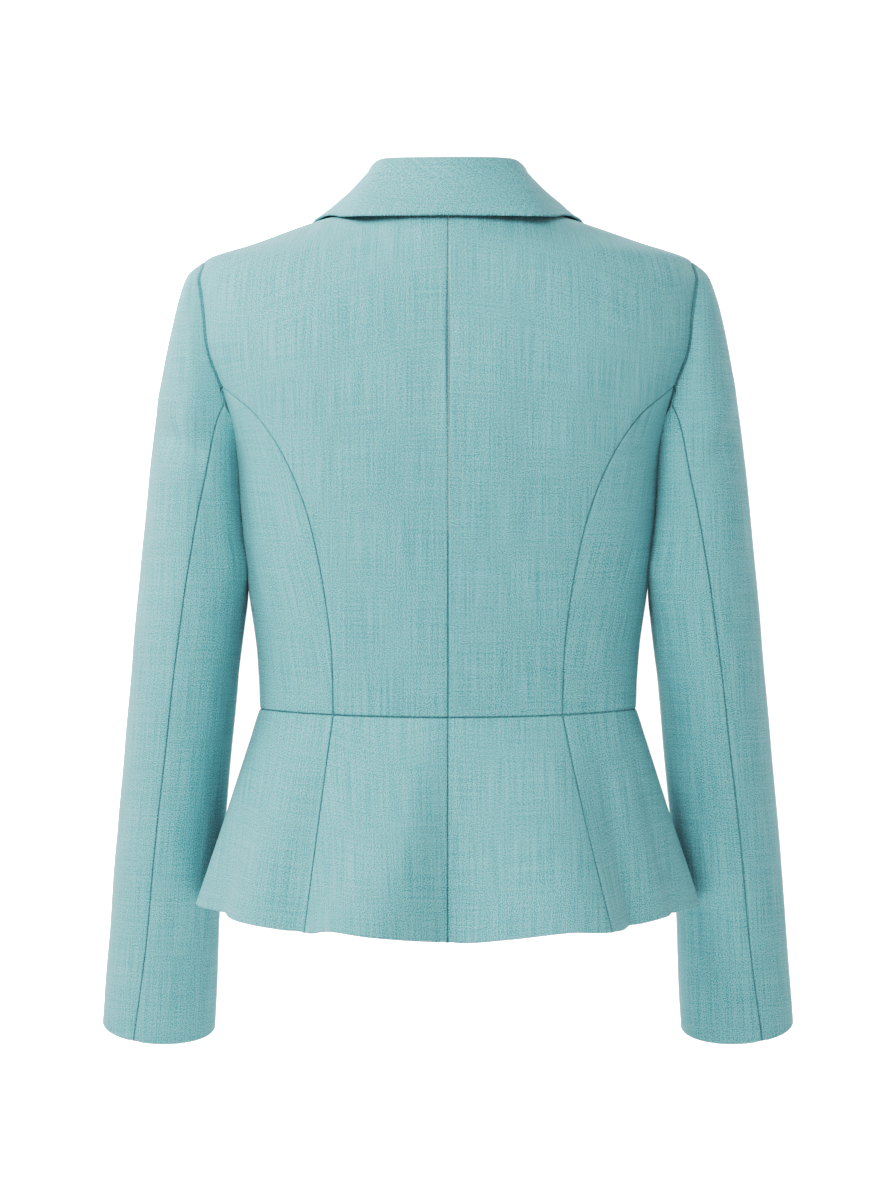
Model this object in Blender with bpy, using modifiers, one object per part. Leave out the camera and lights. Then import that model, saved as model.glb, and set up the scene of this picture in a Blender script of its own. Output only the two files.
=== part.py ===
"""Tailored jacket with a waist seam and peplum, filled out as if worn.

Metres, +Z up. The front faces -Y, the wearer's left is +X, and the origin lies on the centre plane
at the height of the shoulders, where the wearer carries it. Each cut piece is a wall of cloth.
"""
import math
from collections import namedtuple

import bpy
import bmesh
from mathutils import Vector

# Cloth and seams
WALL = 0.0015
COLLAR_WALL = 0.0020
SEAM = 0.0003
SLEEVE_SEAM = 0.00025

# Body sections, from the waist to the side of the neck
Section = namedtuple("Section", "z half_width back front squareness")
TORSO = [
    Section(-0.396, 0.1506, 0.0820, 0.1000, 2.20),
    Section(-0.378, 0.1508, 0.0830, 0.1015, 2.20),
    Section(-0.346, 0.1526, 0.0865, 0.1075, 2.25),
    Section(-0.298, 0.1588, 0.0940, 0.1200, 2.30),
    Section(-0.240, 0.1667, 0.1045, 0.1340, 2.40),
    Section(-0.195, 0.1700, 0.1130, 0.1380, 2.50),
    Section(-0.167, 0.1755, 0.1165, 0.1310, 2.60),
    Section(-0.134, 0.1860, 0.1180, 0.1175, 2.75),
    Section(-0.105, 0.1986, 0.1160, 0.1040, 2.70),
    Section(-0.074, 0.2040, 0.1115, 0.0900, 2.40),
    Section(-0.050, 0.2065, 0.1065, 0.0800, 2.05),
    Section(-0.031, 0.1950, 0.1010, 0.0720, 1.75),
    Section(-0.0168, 0.1538, 0.0965, 0.0630, 1.70),
    Section(-0.003, 0.1140, 0.0900, 0.0540, 1.85),
    Section(0.008, 0.0800, 0.0785, 0.0460, 2.10),
    Section(0.0100, 0.0740, 0.0760, 0.0445, 2.20),
]
SHOULDER_TIP_Z = -0.031
NECK_BACK_Z = 0.008
NECK_SIDE_Z = 0.0095
JOIN_LEVEL_Z = -0.115

# Armhole, an egg on the body seen from the side
ARM_BOTTOM_Z = -0.195
ARM_REACH_BACK = 0.055
ARM_REACH_FRONT = 0.050
BACK_JOIN_TURN = math.radians(104.5)
FRONT_JOIN_TURN = math.radians(245.0)

# Seams and edges on the body: distance from the centre plane at each height
SeamRow = namedtuple("SeamRow", "z x")
BACK_PRINCESS = [
    SeamRow(-0.396, 0.0898), SeamRow(-0.348, 0.0908), SeamRow(-0.302, 0.0957),
    SeamRow(-0.245, 0.1068), SeamRow(-0.200, 0.1230), SeamRow(-0.160, 0.1480),
]
FRONT_PRINCESS = [
    SeamRow(-0.396, 0.0780), SeamRow(-0.300, 0.0880), SeamRow(-0.240, 0.1000),
    SeamRow(-0.200, 0.1190), SeamRow(-0.170, 0.1450),
]
LAP = 0.015
FRONT_EDGE = [
    SeamRow(-0.400, -LAP), SeamRow(-0.330, -LAP), SeamRow(-0.300, -0.0110),
    SeamRow(-0.030, 0.0645), SeamRow(-0.010, 0.0700), SeamRow(NECK_SIDE_Z, 0.0755),
]
LAP_LIFT = 0.0054
LAP_FULL_X = 0.018
LAP_END_X = 0.070

# Waist seam and peplum
WAIST_SIDE_Z = -0.388
WAIST_CENTRE_DROP = 0.005
HEM_SIDE_Z = -0.5435
HEM_CENTRE_DROP = 0.0165
HEM_HALF_WIDTH = 0.1925
HEM_BACK = 0.146
HEM_FRONT = 0.152
HEM_SQUARENESS = 2.05
BACK_PEPLUM_TURN = math.radians(34.5)
FRONT_PEPLUM_TURN = math.radians(151.0)
CUTAWAY_X = 0.048
CUTAWAY_SWEEP = 1.4
HemRow = namedtuple("HemRow", "turn drop")
HEM_WAVE = [
    HemRow(-180, 0.0), HemRow(-58, 0.0), HemRow(-45, 0.0015), HemRow(-33, -0.0010), HemRow(-24, -0.0040),
    HemRow(-13, -0.0010), HemRow(-3, 0.0018), HemRow(6, -0.0006), HemRow(13, -0.0030), HemRow(22, -0.0052),
    HemRow(35, 0.0016), HemRow(50, -0.0006), HemRow(180, 0.0),
]
Flute = namedtuple("Flute", "low waist_turn hem_turn high height")
FLUTES = [
    Flute(-1, 4, 17, 35, 0.034), Flute(33, 45, 48, 66, 0.014), Flute(64, 84, 84, 104, 0.009),
    Flute(106, 126, 126, 146, 0.007), Flute(-47, -27, -30, -1, 0.030), Flute(-66, -56, -57, -46, 0.006),
    Flute(-104, -84, -84, -64, 0.009), Flute(-144, -124, -124, -104, 0.007),
]
FLUTE_SHARPNESS = 0.7
FLUTE_GROWTH = 1.2

# Sleeve rings, from the armhole to the cuff
Ring = namedtuple("Ring", "outer_x outer_z inner_x inner_z back front y tilt seam_turn cap")
SLEEVE = [
    Ring(0.1950, -0.0310, 0.1700, -0.1950, 0.0550, 0.0500, 0.000, 0.00, 104.5, 1.00),
    Ring(0.2074, -0.0420, 0.1714, -0.1975, 0.0570, 0.0530, 0.000, 0.00, 104.5, 0.75),
    Ring(0.2144, -0.0600, 0.1715, -0.2005, 0.0590, 0.0560, 0.000, 0.00, 105.0, 0.50),
    Ring(0.2210, -0.0860, 0.1711, -0.2050, 0.0610, 0.0590, 0.000, 0.00, 106.0, 0.28),
    Ring(0.2281, -0.1230, 0.1706, -0.2120, 0.0625, 0.0610, 0.000, 0.00, 107.0, 0.10),
    Ring(0.2336, -0.1600, 0.1695, -0.2250, 0.0630, 0.0620, 0.000, 0.00, 106.0, 0.00),
    Ring(0.2382, -0.2000, 0.1678, -0.2440, 0.0625, 0.0620, 0.000, 0.00, 102.0, 0.00),
    Ring(0.2429, -0.2450, 0.1646, -0.2680, 0.0615, 0.0610, -0.001, 0.00, 95.0, 0.00),
    Ring(0.2480, -0.2980, 0.1604, -0.2980, 0.0600, 0.0600, -0.003, 0.02, 86.0, 0.00),
    Ring(0.2544, -0.3620, 0.1679, -0.3620, 0.0570, 0.0570, -0.012, 0.12, 82.0, 0.00),
    Ring(0.2597, -0.4106, 0.1731, -0.4106, 0.0550, 0.0550, -0.027, 0.20, 80.0, 0.00),
    Ring(0.2657, -0.4598, 0.1783, -0.4598, 0.0525, 0.0525, -0.042, 0.24, 78.0, 0.00),
    Ring(0.2709, -0.5093, 0.1836, -0.5093, 0.0500, 0.0500, -0.054, 0.26, 77.0, 0.00),
    Ring(0.2753, -0.5592, 0.1866, -0.5592, 0.0470, 0.0470, -0.0655, 0.27, 75.0, 0.00),
    Ring(0.2803, -0.6090, 0.1890, -0.6105, 0.0445, 0.0445, -0.077, 0.27, 71.0, 0.00),
    Ring(0.2839, -0.6475, 0.1917, -0.6528, 0.0425, 0.0425, -0.0865, 0.27, 67.0, 0.00),
]
SLEEVE_FRONT_SEAM = 245.0

# Collar stations, from the centre back round to the gorge on the front
Station = namedtuple("Station", "fold mid edge")
COLLAR = [
    Station((0.000, 0.0780, 0.0430), (0.000, 0.0905, 0.0200), (0.000, 0.0980, -0.0024)),
    Station((0.0505, 0.0585, 0.0440), (0.060, 0.0720, 0.0205), (0.067, 0.0820, -0.0022)),
    Station((0.0625, 0.0080, 0.0372), (0.0820, 0.0110, 0.0195), (0.1005, 0.0130, 0.0030)),
    Station((0.0625, -0.0340, 0.0100), (0.0880, -0.0320, 0.0010), (0.1120, -0.0240, -0.0060)),
    Station((0.0640, -0.0700, -0.0235), (0.1000, -0.0620, -0.0560), (0.1220, -0.0440, -0.0400)),
]
FOLD_ROLL = 0.003
FALL_CLEAR = 0.0023
NECK_BLEND = 0.006
FOOT_IN = 0.0012
FOOT_UP = 0.0009
GORGE_Z = -0.030

# Lapel, laid on the front
LAPEL_POINT_X = 0.128
LAPEL_POINT_Z = -0.081
LAPEL_BREAK_Z = -0.305
LAPEL_BREAK_WIDTH = 0.004
LAPEL_BELLY = 0.85
LAPEL_TOP_GAP = 0.0008
LAPEL_GAP_AT_ROLL = 0.0009
LAPEL_GAP = 0.0016
LAPEL_GAP_REACH = 1 / 3

# Button
BUTTON_Z = -0.345
BUTTON_RADIUS = 0.011
BUTTON_HEIGHT = 0.0036
BUTTON_DISH = 0.0009
BUTTON_SHANK = 0.0007

# How finely each piece is divided
SEAM_ROWS = 8
ARM_ROWS = 7
BACK_COLUMNS = 8
NECK_COLUMNS = 3
SIDE_COLUMNS = 5
FRONT_COLUMNS = 7
PEPLUM_ROWS = 6
PEPLUM_COLUMNS = 8
LAPEL_ROWS = 14
LAPEL_COLUMNS = 6
COLLAR_ROWS = 20
PEPLUM_TOP_V = 0.003

CLOTH_COLOUR = (0.256, 0.508, 0.533, 1.0)
BUTTON_COLOUR = (0.10, 0.24, 0.26, 1.0)
QUARTER = math.pi / 2
MIRROR = {"left": 1, "right": -1}


class Curve:
    """A smooth curve through table rows that never overshoots them."""

    def __init__(self, keys, values):
        self.keys = list(keys)
        self.values = list(values)
        steps = [b - a for a, b in zip(self.keys, self.keys[1:])]
        slopes = [(b - a) / step for a, b, step in zip(self.values, self.values[1:], steps)]
        self.slopes = [slopes[0]]
        for before, after in zip(slopes, slopes[1:]):
            same_way = before * after > 0
            self.slopes.append(2 * before * after / (before + after) if same_way else 0.0)
        self.slopes.append(slopes[-1])

    def __call__(self, at):
        at = min(max(at, self.keys[0]), self.keys[-1])
        index = 0
        while index < len(self.keys) - 2 and at > self.keys[index + 1]:
            index += 1
        span = self.keys[index + 1] - self.keys[index]
        t = (at - self.keys[index]) / span
        rise = t * t * (3 - 2 * t)
        value = self.values[index] * (1 - rise) + self.values[index + 1] * rise
        value += self.slopes[index] * span * t * (1 - t) ** 2
        return value - self.slopes[index + 1] * span * t * t * (1 - t)


def columns(rows, key=None):
    """One curve for each column of a table, by the key column or by row number."""
    keys = [getattr(row, key) for row in rows] if key else range(len(rows))
    return {name: Curve(keys, [getattr(row, name) for row in rows]) for name in rows[0]._fields if name != key}


def lerp(a, b, t):
    return a + (b - a) * t


def smooth(t):
    t = min(max(t, 0.0), 1.0)
    return t * t * (3 - 2 * t)


def power(base, exponent):
    return math.copysign(abs(base) ** exponent, base)


BODY = columns(TORSO, "z")


def torso(turn, z):
    """A point of the body's outer face: turn 0 is centre back, a quarter is the side."""
    exponent = 2 / BODY["squareness"](z)
    depth = BODY["back"](z) if math.cos(turn) > 0 else BODY["front"](z)
    x = BODY["half_width"](z) * power(math.sin(turn), exponent)
    return Vector((x, depth * power(math.cos(turn), exponent), z))


def body_level(point):
    """Zero on the body's outer face, positive outside it."""
    square = BODY["squareness"](point.z)
    depth = BODY["back"](point.z) if point.y > 0 else BODY["front"](point.z)
    return (abs(point.x) / BODY["half_width"](point.z)) ** square + (abs(point.y) / depth) ** square - 1


def body_slope(point, step=0.0002):
    axes = (Vector((step, 0, 0)), Vector((0, step, 0)), Vector((0, 0, step)))
    rises = [body_level(point + axis) - body_level(point - axis) for axis in axes]
    return Vector(rises) / (2 * step)


def body_normal(point):
    return body_slope(point).normalized()


def lay_on_body(point, clear):
    """The point itself, or moved out until it lies clear of the body, which is open above the neck edge."""
    hold = 1 - smooth((point.z - NECK_SIDE_Z) / NECK_BLEND)
    for _ in range(4):
        slope = body_slope(point)
        short = clear - body_level(point) / slope.length
        if short > 0:
            point = point + slope.normalized() * short * hold
    return point


def turn_at_x(x, z, front=False):
    """The turn where the body is this far from the centre plane."""
    share = min(abs(x) / BODY["half_width"](z), 1.0)
    turn = math.copysign(math.asin(share ** (BODY["squareness"](z) / 2)), x)
    return math.pi - turn if front else turn


def turn_at_y(y, z):
    depth = BODY["back"](z) if y > 0 else BODY["front"](z)
    return math.acos(power(y / depth, BODY["squareness"](z) / 2))


def armhole(turn):
    """Armhole edge on the body: 0 at the shoulder tip, then back, underarm and front."""
    middle = (SHOULDER_TIP_Z + ARM_BOTTOM_Z) / 2
    z = middle + (SHOULDER_TIP_Z - middle) * math.cos(turn)
    reach = ARM_REACH_BACK if math.sin(turn) > 0 else ARM_REACH_FRONT
    return turn_at_y(reach * math.sin(turn), z), z


def waist_z(turn):
    return WAIST_SIDE_Z - WAIST_CENTRE_DROP * math.cos(turn) ** 2


BACK_JOIN = armhole(BACK_JOIN_TURN)
FRONT_JOIN = armhole(FRONT_JOIN_TURN)
BACK_SEAM = Curve(
    [row.z for row in BACK_PRINCESS] + [BACK_JOIN[1]],
    [row.x for row in BACK_PRINCESS] + [torso(*BACK_JOIN).x],
)
FRONT_SEAM = Curve(
    [row.z for row in FRONT_PRINCESS] + [FRONT_JOIN[1]],
    [row.x for row in FRONT_PRINCESS] + [torso(*FRONT_JOIN).x],
)
EDGE = Curve([row.z for row in FRONT_EDGE], [row.x for row in FRONT_EDGE])


def princess(share, front):
    """Princess seam from the waist up to the armhole, as turn and height."""
    start = waist_z(FRONT_PEPLUM_TURN if front else BACK_PEPLUM_TURN)
    z = lerp(start, (FRONT_JOIN if front else BACK_JOIN)[1], share)
    seam = FRONT_SEAM if front else BACK_SEAM
    return turn_at_x(seam(z), z, front), z


def front_edge(z):
    return turn_at_x(EDGE(z), z, front=True), z


def ease_out(t):
    return 1 - (1 - t) ** 2


def patch(left, right, top, bend):
    """Turn and height over a piece with the waist seam below and its own bent edge on top."""
    def between(u, v):
        return [lerp(a, b, u) for a, b in zip(left(v), right(v))]

    def spot(u, v):
        turn, z = [a + bend(v) * (b - c) for a, b, c in zip(between(u, v), top(u), between(u, 1))]
        foot_turn, foot_z = between(u, 0)
        return turn, z + (waist_z(foot_turn) - foot_z) * (1 - v) ** 3
    return spot


JOIN_V = SEAM_ROWS / (SEAM_ROWS + ARM_ROWS)


def above_join(v):
    return max(0.0, (v - JOIN_V) / (1 - JOIN_V))


def rise(v, bottom, join, top):
    """Height along a centre edge, with its rows closing up towards the top."""
    if v < JOIN_V:
        return lerp(bottom, join, v / JOIN_V)
    return lerp(join, top, ease_out(above_join(v)))


def shoulder(share):
    return QUARTER, lerp(NECK_SIDE_Z, SHOULDER_TIP_Z, share)


def back_spot():
    def left(v):
        return 0.0, rise(v, waist_z(0), JOIN_LEVEL_Z, NECK_BACK_Z)

    def right(v):
        if v < JOIN_V:
            return princess(v / JOIN_V, front=False)
        return armhole(BACK_JOIN_TURN * (1 - above_join(v)))

    def top(u):
        share = u * BACK_COLUMNS / NECK_COLUMNS
        if share < 1:
            return QUARTER * share, lerp(NECK_BACK_Z, NECK_SIDE_Z, share * share)
        return shoulder((u * BACK_COLUMNS - NECK_COLUMNS) / (BACK_COLUMNS - NECK_COLUMNS))

    return patch(left, right, top, lambda v: ease_out(above_join(v)))


def front_spot():
    def left(v):
        return front_edge(rise(v, waist_z(math.pi), JOIN_LEVEL_Z, NECK_SIDE_Z))

    def right(v):
        if v < JOIN_V:
            return princess(v / JOIN_V, front=True)
        return armhole(lerp(FRONT_JOIN_TURN, 2 * math.pi, above_join(v)))

    return patch(left, right, shoulder, lambda v: ease_out(above_join(v)))


def side_spot(front):
    """Side back or side front, from its princess seam to the side seam."""
    join_turn = FRONT_JOIN_TURN if front else BACK_JOIN_TURN

    def left(v):
        return princess(v, front)

    def right(v):
        return QUARTER, lerp(waist_z(QUARTER), ARM_BOTTOM_Z, v)

    def top(u):
        return armhole(lerp(join_turn, math.pi, u))

    return patch(left, right, top, lambda v: v * v)


def lap_over(point, normal):
    """A point of the lapping front, which stands off the other front near the centre."""
    level_way = Vector((normal.x, normal.y, 0)).normalized()
    return point + level_way * LAP_LIFT * smooth((LAP_END_X - point.x) / (LAP_END_X - LAP_FULL_X))


def body_piece(spot, rows, across, lapped=False):
    """Outer points and their outward directions over one piece of the body."""
    points = []
    normals = []
    for row in range(rows + 1):
        line = [torso(*spot(column / across, row / rows)) for column in range(across + 1)]
        out = [body_normal(point) for point in line]
        if lapped:
            line = [lap_over(point, normal) for point, normal in zip(line, out)]
        points.append(line)
        normals.append(out)
    return points, normals


HEM_DROP = Curve([row.turn for row in HEM_WAVE], [row.drop for row in HEM_WAVE])


def hem_z(turn, side):
    return HEM_SIDE_Z - HEM_CENTRE_DROP * math.cos(turn) ** 2 - HEM_DROP(math.degrees(turn * side))


def flute_height(turn, v):
    """How far the flutes stand out at a share of the way from the waist down to the hem."""
    total = 0.0
    degrees = math.degrees(turn)
    for flute in FLUTES:
        if flute.low < degrees < flute.high:
            crest = lerp(flute.waist_turn, flute.hem_turn, v)
            valley = flute.low if degrees < crest else flute.high
            away = (degrees - crest) / (valley - crest)
            total += flute.height * (0.5 + 0.5 * math.cos(math.pi * away)) ** FLUTE_SHARPNESS
    return total * v ** FLUTE_GROWTH


def peplum(turn, v, side):
    """Peplum outer face from the waist seam (0) to the hem (1); turn runs from the centre back."""
    top = waist_z(turn)
    exponent = 2 / lerp(BODY["squareness"](top), HEM_SQUARENESS, v)
    width = lerp(BODY["half_width"](top), HEM_HALF_WIDTH, v)
    depth_name, hem_depth = ("back", HEM_BACK) if math.cos(turn) > 0 else ("front", HEM_FRONT)
    depth = lerp(BODY[depth_name](top), hem_depth, v)
    flute = flute_height(turn * side, v)
    x = width * power(math.sin(turn), exponent) + flute * math.sin(turn)
    y = depth * power(math.cos(turn), exponent) + flute * math.cos(turn)
    return Vector((x, y, lerp(top - SEAM / 2, hem_z(turn, side), v)))


def slope_normal(surface, a, b, step=0.002):
    """Outward direction of a surface of two shares, from its slopes."""
    along = surface(a + step, b) - surface(a - step, b)
    up = surface(a, b + step) - surface(a, b - step)
    return along.cross(up).normalized()


def peplum_piece(start, end, side, front_piece=False, lapped=False):
    def edge_turn(v):
        if not front_piece:
            return end
        x = lerp(-LAP, CUTAWAY_X, v ** CUTAWAY_SWEEP)
        width = lerp(BODY["half_width"](WAIST_SIDE_Z), HEM_HALF_WIDTH, v)
        return math.pi - math.copysign(math.asin((abs(x) / width) ** (HEM_SQUARENESS / 2)), x)

    points = []
    normals = []
    for row in range(PEPLUM_ROWS + 1):
        v = 1 - row / PEPLUM_ROWS
        turns = [lerp(start, edge_turn(v), column / PEPLUM_COLUMNS) for column in range(PEPLUM_COLUMNS + 1)]
        line = [peplum(turn, v, side) for turn in turns]
        out = [slope_normal(lambda a, b: peplum(a, b, side), turn, max(v, PEPLUM_TOP_V)) for turn in turns]
        if lapped:
            line = [lap_over(point, normal) for point, normal in zip(line, out)]
        points.append(line)
        normals.append(out)
    return points, normals


RINGS = columns(SLEEVE)


def sleeve(ring, turn):
    """Sleeve outer face at a ring number and a turn: 0 outer, then back, inner and front."""
    value = {name: curve(ring) for name, curve in RINGS.items()}
    cosine = math.cos(turn)
    sine = math.sin(turn)
    reach = (value["back"] if sine > 0 else value["front"]) * sine
    middle_x = (value["outer_x"] + value["inner_x"]) / 2
    middle_z = (value["outer_z"] + value["inner_z"]) / 2
    x = middle_x + (value["outer_x"] - middle_x) * cosine
    z = middle_z + (value["outer_z"] - middle_z) * cosine - value["tilt"] * reach
    first = SLEEVE[0]
    flat_x = (first.outer_x + first.inner_x) / 2 + (first.outer_x - first.inner_x) / 2 * cosine
    x += value["cap"] * (torso(*armhole(turn)).x - flat_x)
    return Vector((x, value["y"] + reach, z))


def armhole_inward(turn):
    """At the armhole edge: the body's outward direction, and the way across the edge into the hole."""
    step = 0.01
    point = torso(*armhole(turn))
    out = body_normal(point)
    along = torso(*armhole(turn + step)) - torso(*armhole(turn - step))
    across = out.cross(along).normalized()
    hole = Vector((point.x, 0, (SHOULDER_TIP_Z + ARM_BOTTOM_Z) / 2)) - point
    return out, across if across.dot(hole) > 0 else -across


def sleeve_piece(turns_at):
    """A sleeve piece; turns_at(ring) lists the turns of its columns at that ring."""
    points = []
    normals = []
    for ring in range(len(SLEEVE)):
        turns = turns_at(ring)
        line = [sleeve(ring, turn) for turn in turns]
        out = []
        for turn, point in zip(turns, line):
            normal = slope_normal(lambda a, b: sleeve(max(a, 0.01), b), max(ring, 0.05), turn, step=0.01)
            middle = (sleeve(ring, turn) + sleeve(ring, turn + math.pi)) / 2
            out.append(normal if normal.dot(point - middle) > 0 else -normal)
        if ring == 0:
            for column, turn in enumerate(turns):
                _, across = armhole_inward(turn)
                line[column] = line[column] + across * SLEEVE_SEAM
                over = out[column].dot(across)
                if over > 0:
                    out[column] = (out[column] - across * over).normalized()
        points.append(line)
        normals.append(out)
    return points, normals


def arm_turns(start, end, count):
    return [lerp(start, end, index / count) for index in range(count + 1)]


def upper_turns(ring):
    """Upper sleeve columns: from the front seam over the shoulder to the back seam."""
    front = arm_turns(math.radians(SLEEVE_FRONT_SEAM) - 2 * math.pi, 0.0, ARM_ROWS)
    back = arm_turns(0.0, math.radians(SLEEVE[ring].seam_turn), ARM_ROWS)
    return front[:-1] + back


def under_turns(ring):
    """Under sleeve columns: from the back seam under the arm to the front seam."""
    back = arm_turns(math.radians(SLEEVE[ring].seam_turn), math.pi, SIDE_COLUMNS)
    front = arm_turns(math.pi, math.radians(SLEEVE_FRONT_SEAM), SIDE_COLUMNS)
    return back[:-1] + front


def lapel_piece(lapped):
    """Lapel laid on the front: rows from the break up to the gorge, columns from the roll line out."""
    points = []
    normals = []
    for row in range(LAPEL_ROWS + 1):
        t = row / LAPEL_ROWS
        inner_z = lerp(LAPEL_BREAK_Z, GORGE_Z - LAPEL_TOP_GAP, t)
        outer_z = lerp(LAPEL_BREAK_Z, LAPEL_POINT_Z, t)
        inner_x = EDGE(inner_z)
        outer_x = lerp(EDGE(LAPEL_BREAK_Z) + LAPEL_BREAK_WIDTH, LAPEL_POINT_X, t ** LAPEL_BELLY)
        line = []
        out = []
        for column in range(LAPEL_COLUMNS + 1):
            u = column / LAPEL_COLUMNS
            z = lerp(inner_z, outer_z, u)
            point = torso(turn_at_x(lerp(inner_x, outer_x, u), z, front=True), z)
            normal = body_normal(point)
            if lapped:
                point = lap_over(point, normal)
            line.append(point + normal * (WALL + lerp(LAPEL_GAP_AT_ROLL, LAPEL_GAP, min(1.0, u / LAPEL_GAP_REACH))))
            out.append(normal)
        points.append(line)
        normals.append(out)
    return points, normals


def collar_foot(station):
    """Neck edge that the stand rises from, by station number."""
    if station <= 2:
        share = station / 2
        point = torso(QUARTER * share, lerp(NECK_BACK_Z, NECK_SIDE_Z, share * share))
    else:
        point = torso(*front_edge(lerp(NECK_SIDE_Z, GORGE_Z, (station - 2) / 2)))
    inward = Vector((-point.x, -point.y, 0)).normalized() * FOOT_IN
    return point + inward + Vector((0, 0, FOOT_UP))


def collar_line(name):
    """A line along the collar, carried one station past the centre back so that it crosses it level."""
    spots = [getattr(row, name) for row in COLLAR]
    spots.insert(0, (-spots[1][0], spots[1][1], spots[1][2]))
    return [Curve(range(-1, len(COLLAR)), [spot[axis] for spot in spots]) for axis in range(3)]


COLLAR_LINES = {name: collar_line(name) for name in Station._fields}


def collar_section(station):
    """Middle line of the collar from its foot over the fold to the edge of the fall."""
    place = {name: Vector([axis(station) for axis in axes]) for name, axes in COLLAR_LINES.items()}
    foot = collar_foot(station)
    out = place["mid"] - foot
    out.z = 0
    out = out.normalized() * FOLD_ROLL
    down = Vector((0, 0, -FOLD_ROLL))
    fold = place["fold"]
    section = [
        foot, lerp(foot, fold - out + down, 0.5), fold - out + down, fold, fold + out + down,
        lerp(fold + out + down, place["mid"], 0.5), place["mid"],
        lerp(place["mid"], place["edge"], 0.5), place["edge"],
    ]
    return section[:4] + [lay_on_body(point, FALL_CLEAR) for point in section[4:]]


def collar_piece():
    last = len(COLLAR) - 1
    half = [collar_section(last * row / COLLAR_ROWS) for row in range(COLLAR_ROWS + 1)]
    other = [[Vector((-p.x, p.y, p.z)) for p in line] for line in half[1:]]
    points = list(reversed(other)) + half
    normals = []
    for row, line in enumerate(points):
        before = points[max(row - 1, 0)]
        after = points[min(row + 1, len(points) - 1)]
        out = []
        for column in range(len(line)):
            along = after[column] - before[column]
            across = line[min(column + 1, len(line) - 1)] - line[max(column - 1, 0)]
            out.append(across.cross(along).normalized())
        normals.append(out)
    raised = [[p + n * COLLAR_WALL / 2 for p, n in zip(line, out)] for line, out in zip(points, normals)]
    return raised, normals


def trim_edges(points, amount):
    """Draw the four edges of a piece in by its half of the seam gap."""
    def drawn(edge, inside):
        moved = []
        for index, point in enumerate(edge):
            along = edge[min(index + 1, len(edge) - 1)] - edge[max(index - 1, 0)]
            along.normalize()
            way = inside[index] - point
            way = way - along * way.dot(along)
            moved.append(point + way.normalized() * amount)
        return moved

    first = drawn(points[0], points[1])
    last = drawn(points[-1], points[-2])
    points = [first] + points[1:-1] + [last]
    near = drawn([line[0] for line in points], [line[1] for line in points])
    far = drawn([line[-1] for line in points], [line[-2] for line in points])
    return [[a] + line[1:-1] + [b] for a, line, b in zip(near, points, far)]


def add_wall(name, piece, material, side=1, thickness=WALL, trim=SEAM / 2):
    """A closed wall: the outer face, the inner face behind it, and the rim between them."""
    points, normals = piece
    points = trim_edges(points, trim)
    outer_rows = [[Vector((p.x * side, p.y, p.z)) for p in line] for line in points]
    inner_rows = []
    for line, out in zip(points, normals):
        inside = [p - n * thickness for p, n in zip(line, out)]
        inner_rows.append([Vector((p.x * side, p.y, p.z)) for p in inside])
    mesh = bmesh.new()
    outer = [[mesh.verts.new(p) for p in line] for line in outer_rows]
    inner = [[mesh.verts.new(p) for p in line] for line in inner_rows]
    for grid in (outer, inner):
        for low, high in zip(grid, grid[1:]):
            for index in range(len(low) - 1):
                mesh.faces.new((low[index], low[index + 1], high[index + 1], high[index]))
    for grid_edges in (
        (outer[0], inner[0]), (outer[-1], inner[-1]),
        ([line[0] for line in outer], [line[0] for line in inner]),
        ([line[-1] for line in outer], [line[-1] for line in inner]),
    ):
        edge, back = grid_edges
        for index in range(len(edge) - 1):
            mesh.faces.new((edge[index], edge[index + 1], back[index + 1], back[index]))
    bmesh.ops.recalc_face_normals(mesh, faces=mesh.faces)
    bmesh.ops.triangulate(mesh, faces=mesh.faces, quad_method="SHORT_EDGE")
    data = bpy.data.meshes.new(name)
    mesh.to_mesh(data)
    mesh.free()
    data.shade_smooth()
    data.set_sharp_from_angle(angle=math.radians(40))
    return add_object(name, data, material)


def add_object(name, data, material):
    piece = bpy.data.objects.new(name, data)
    data.materials.append(material)
    jacket.objects.link(piece)
    return piece


def add_button(material):
    """A turned button with a raised rim, on the lapping front."""
    seat = torso(math.pi, BUTTON_Z)
    out = body_normal(seat)
    place = seat + out * (LAP_LIFT + BUTTON_SHANK)
    profile = [
        (0.0, BUTTON_HEIGHT - BUTTON_DISH), (BUTTON_RADIUS * 0.66, BUTTON_HEIGHT - BUTTON_DISH),
        (BUTTON_RADIUS * 0.78, BUTTON_HEIGHT), (BUTTON_RADIUS * 0.92, BUTTON_HEIGHT * 0.94),
        (BUTTON_RADIUS, BUTTON_HEIGHT * 0.6), (BUTTON_RADIUS * 0.94, BUTTON_HEIGHT * 0.15),
        (BUTTON_RADIUS * 0.80, 0.0), (0.0, 0.0),
    ]
    data = bpy.data.meshes.new("button")
    edges = [(index, index + 1) for index in range(len(profile) - 1)]
    data.from_pydata([(radius, 0.0, height) for radius, height in profile], edges, [])
    button = add_object("button", data, material)
    turned = button.modifiers.new("turned", "SCREW")
    turned.angle = 2 * math.pi
    turned.steps = 24
    turned.render_steps = 24
    turned.use_merge_vertices = True
    turned.merge_threshold = 0.00005
    button.location = place
    button.rotation_mode = "QUATERNION"
    button.rotation_quaternion = Vector((0, 0, 1)).rotation_difference(out)


def make_material(name, colour, roughness):
    material = bpy.data.materials.new(name)
    material.use_nodes = True
    shader = material.node_tree.nodes["Principled BSDF"]
    shader.inputs["Base Color"].default_value = colour
    shader.inputs["Roughness"].default_value = roughness
    shader.inputs["Metallic"].default_value = 0.0
    return material


for old in list(bpy.data.objects):
    bpy.data.objects.remove(old, do_unlink=True)
jacket = bpy.data.collections.new("tailored_jacket")
bpy.context.scene.collection.children.link(jacket)

cloth = make_material("wool_cloth", CLOTH_COLOUR, 0.9)
button_plastic = make_material("button_plastic", BUTTON_COLOUR, 0.35)
body_rows = SEAM_ROWS + ARM_ROWS

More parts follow.
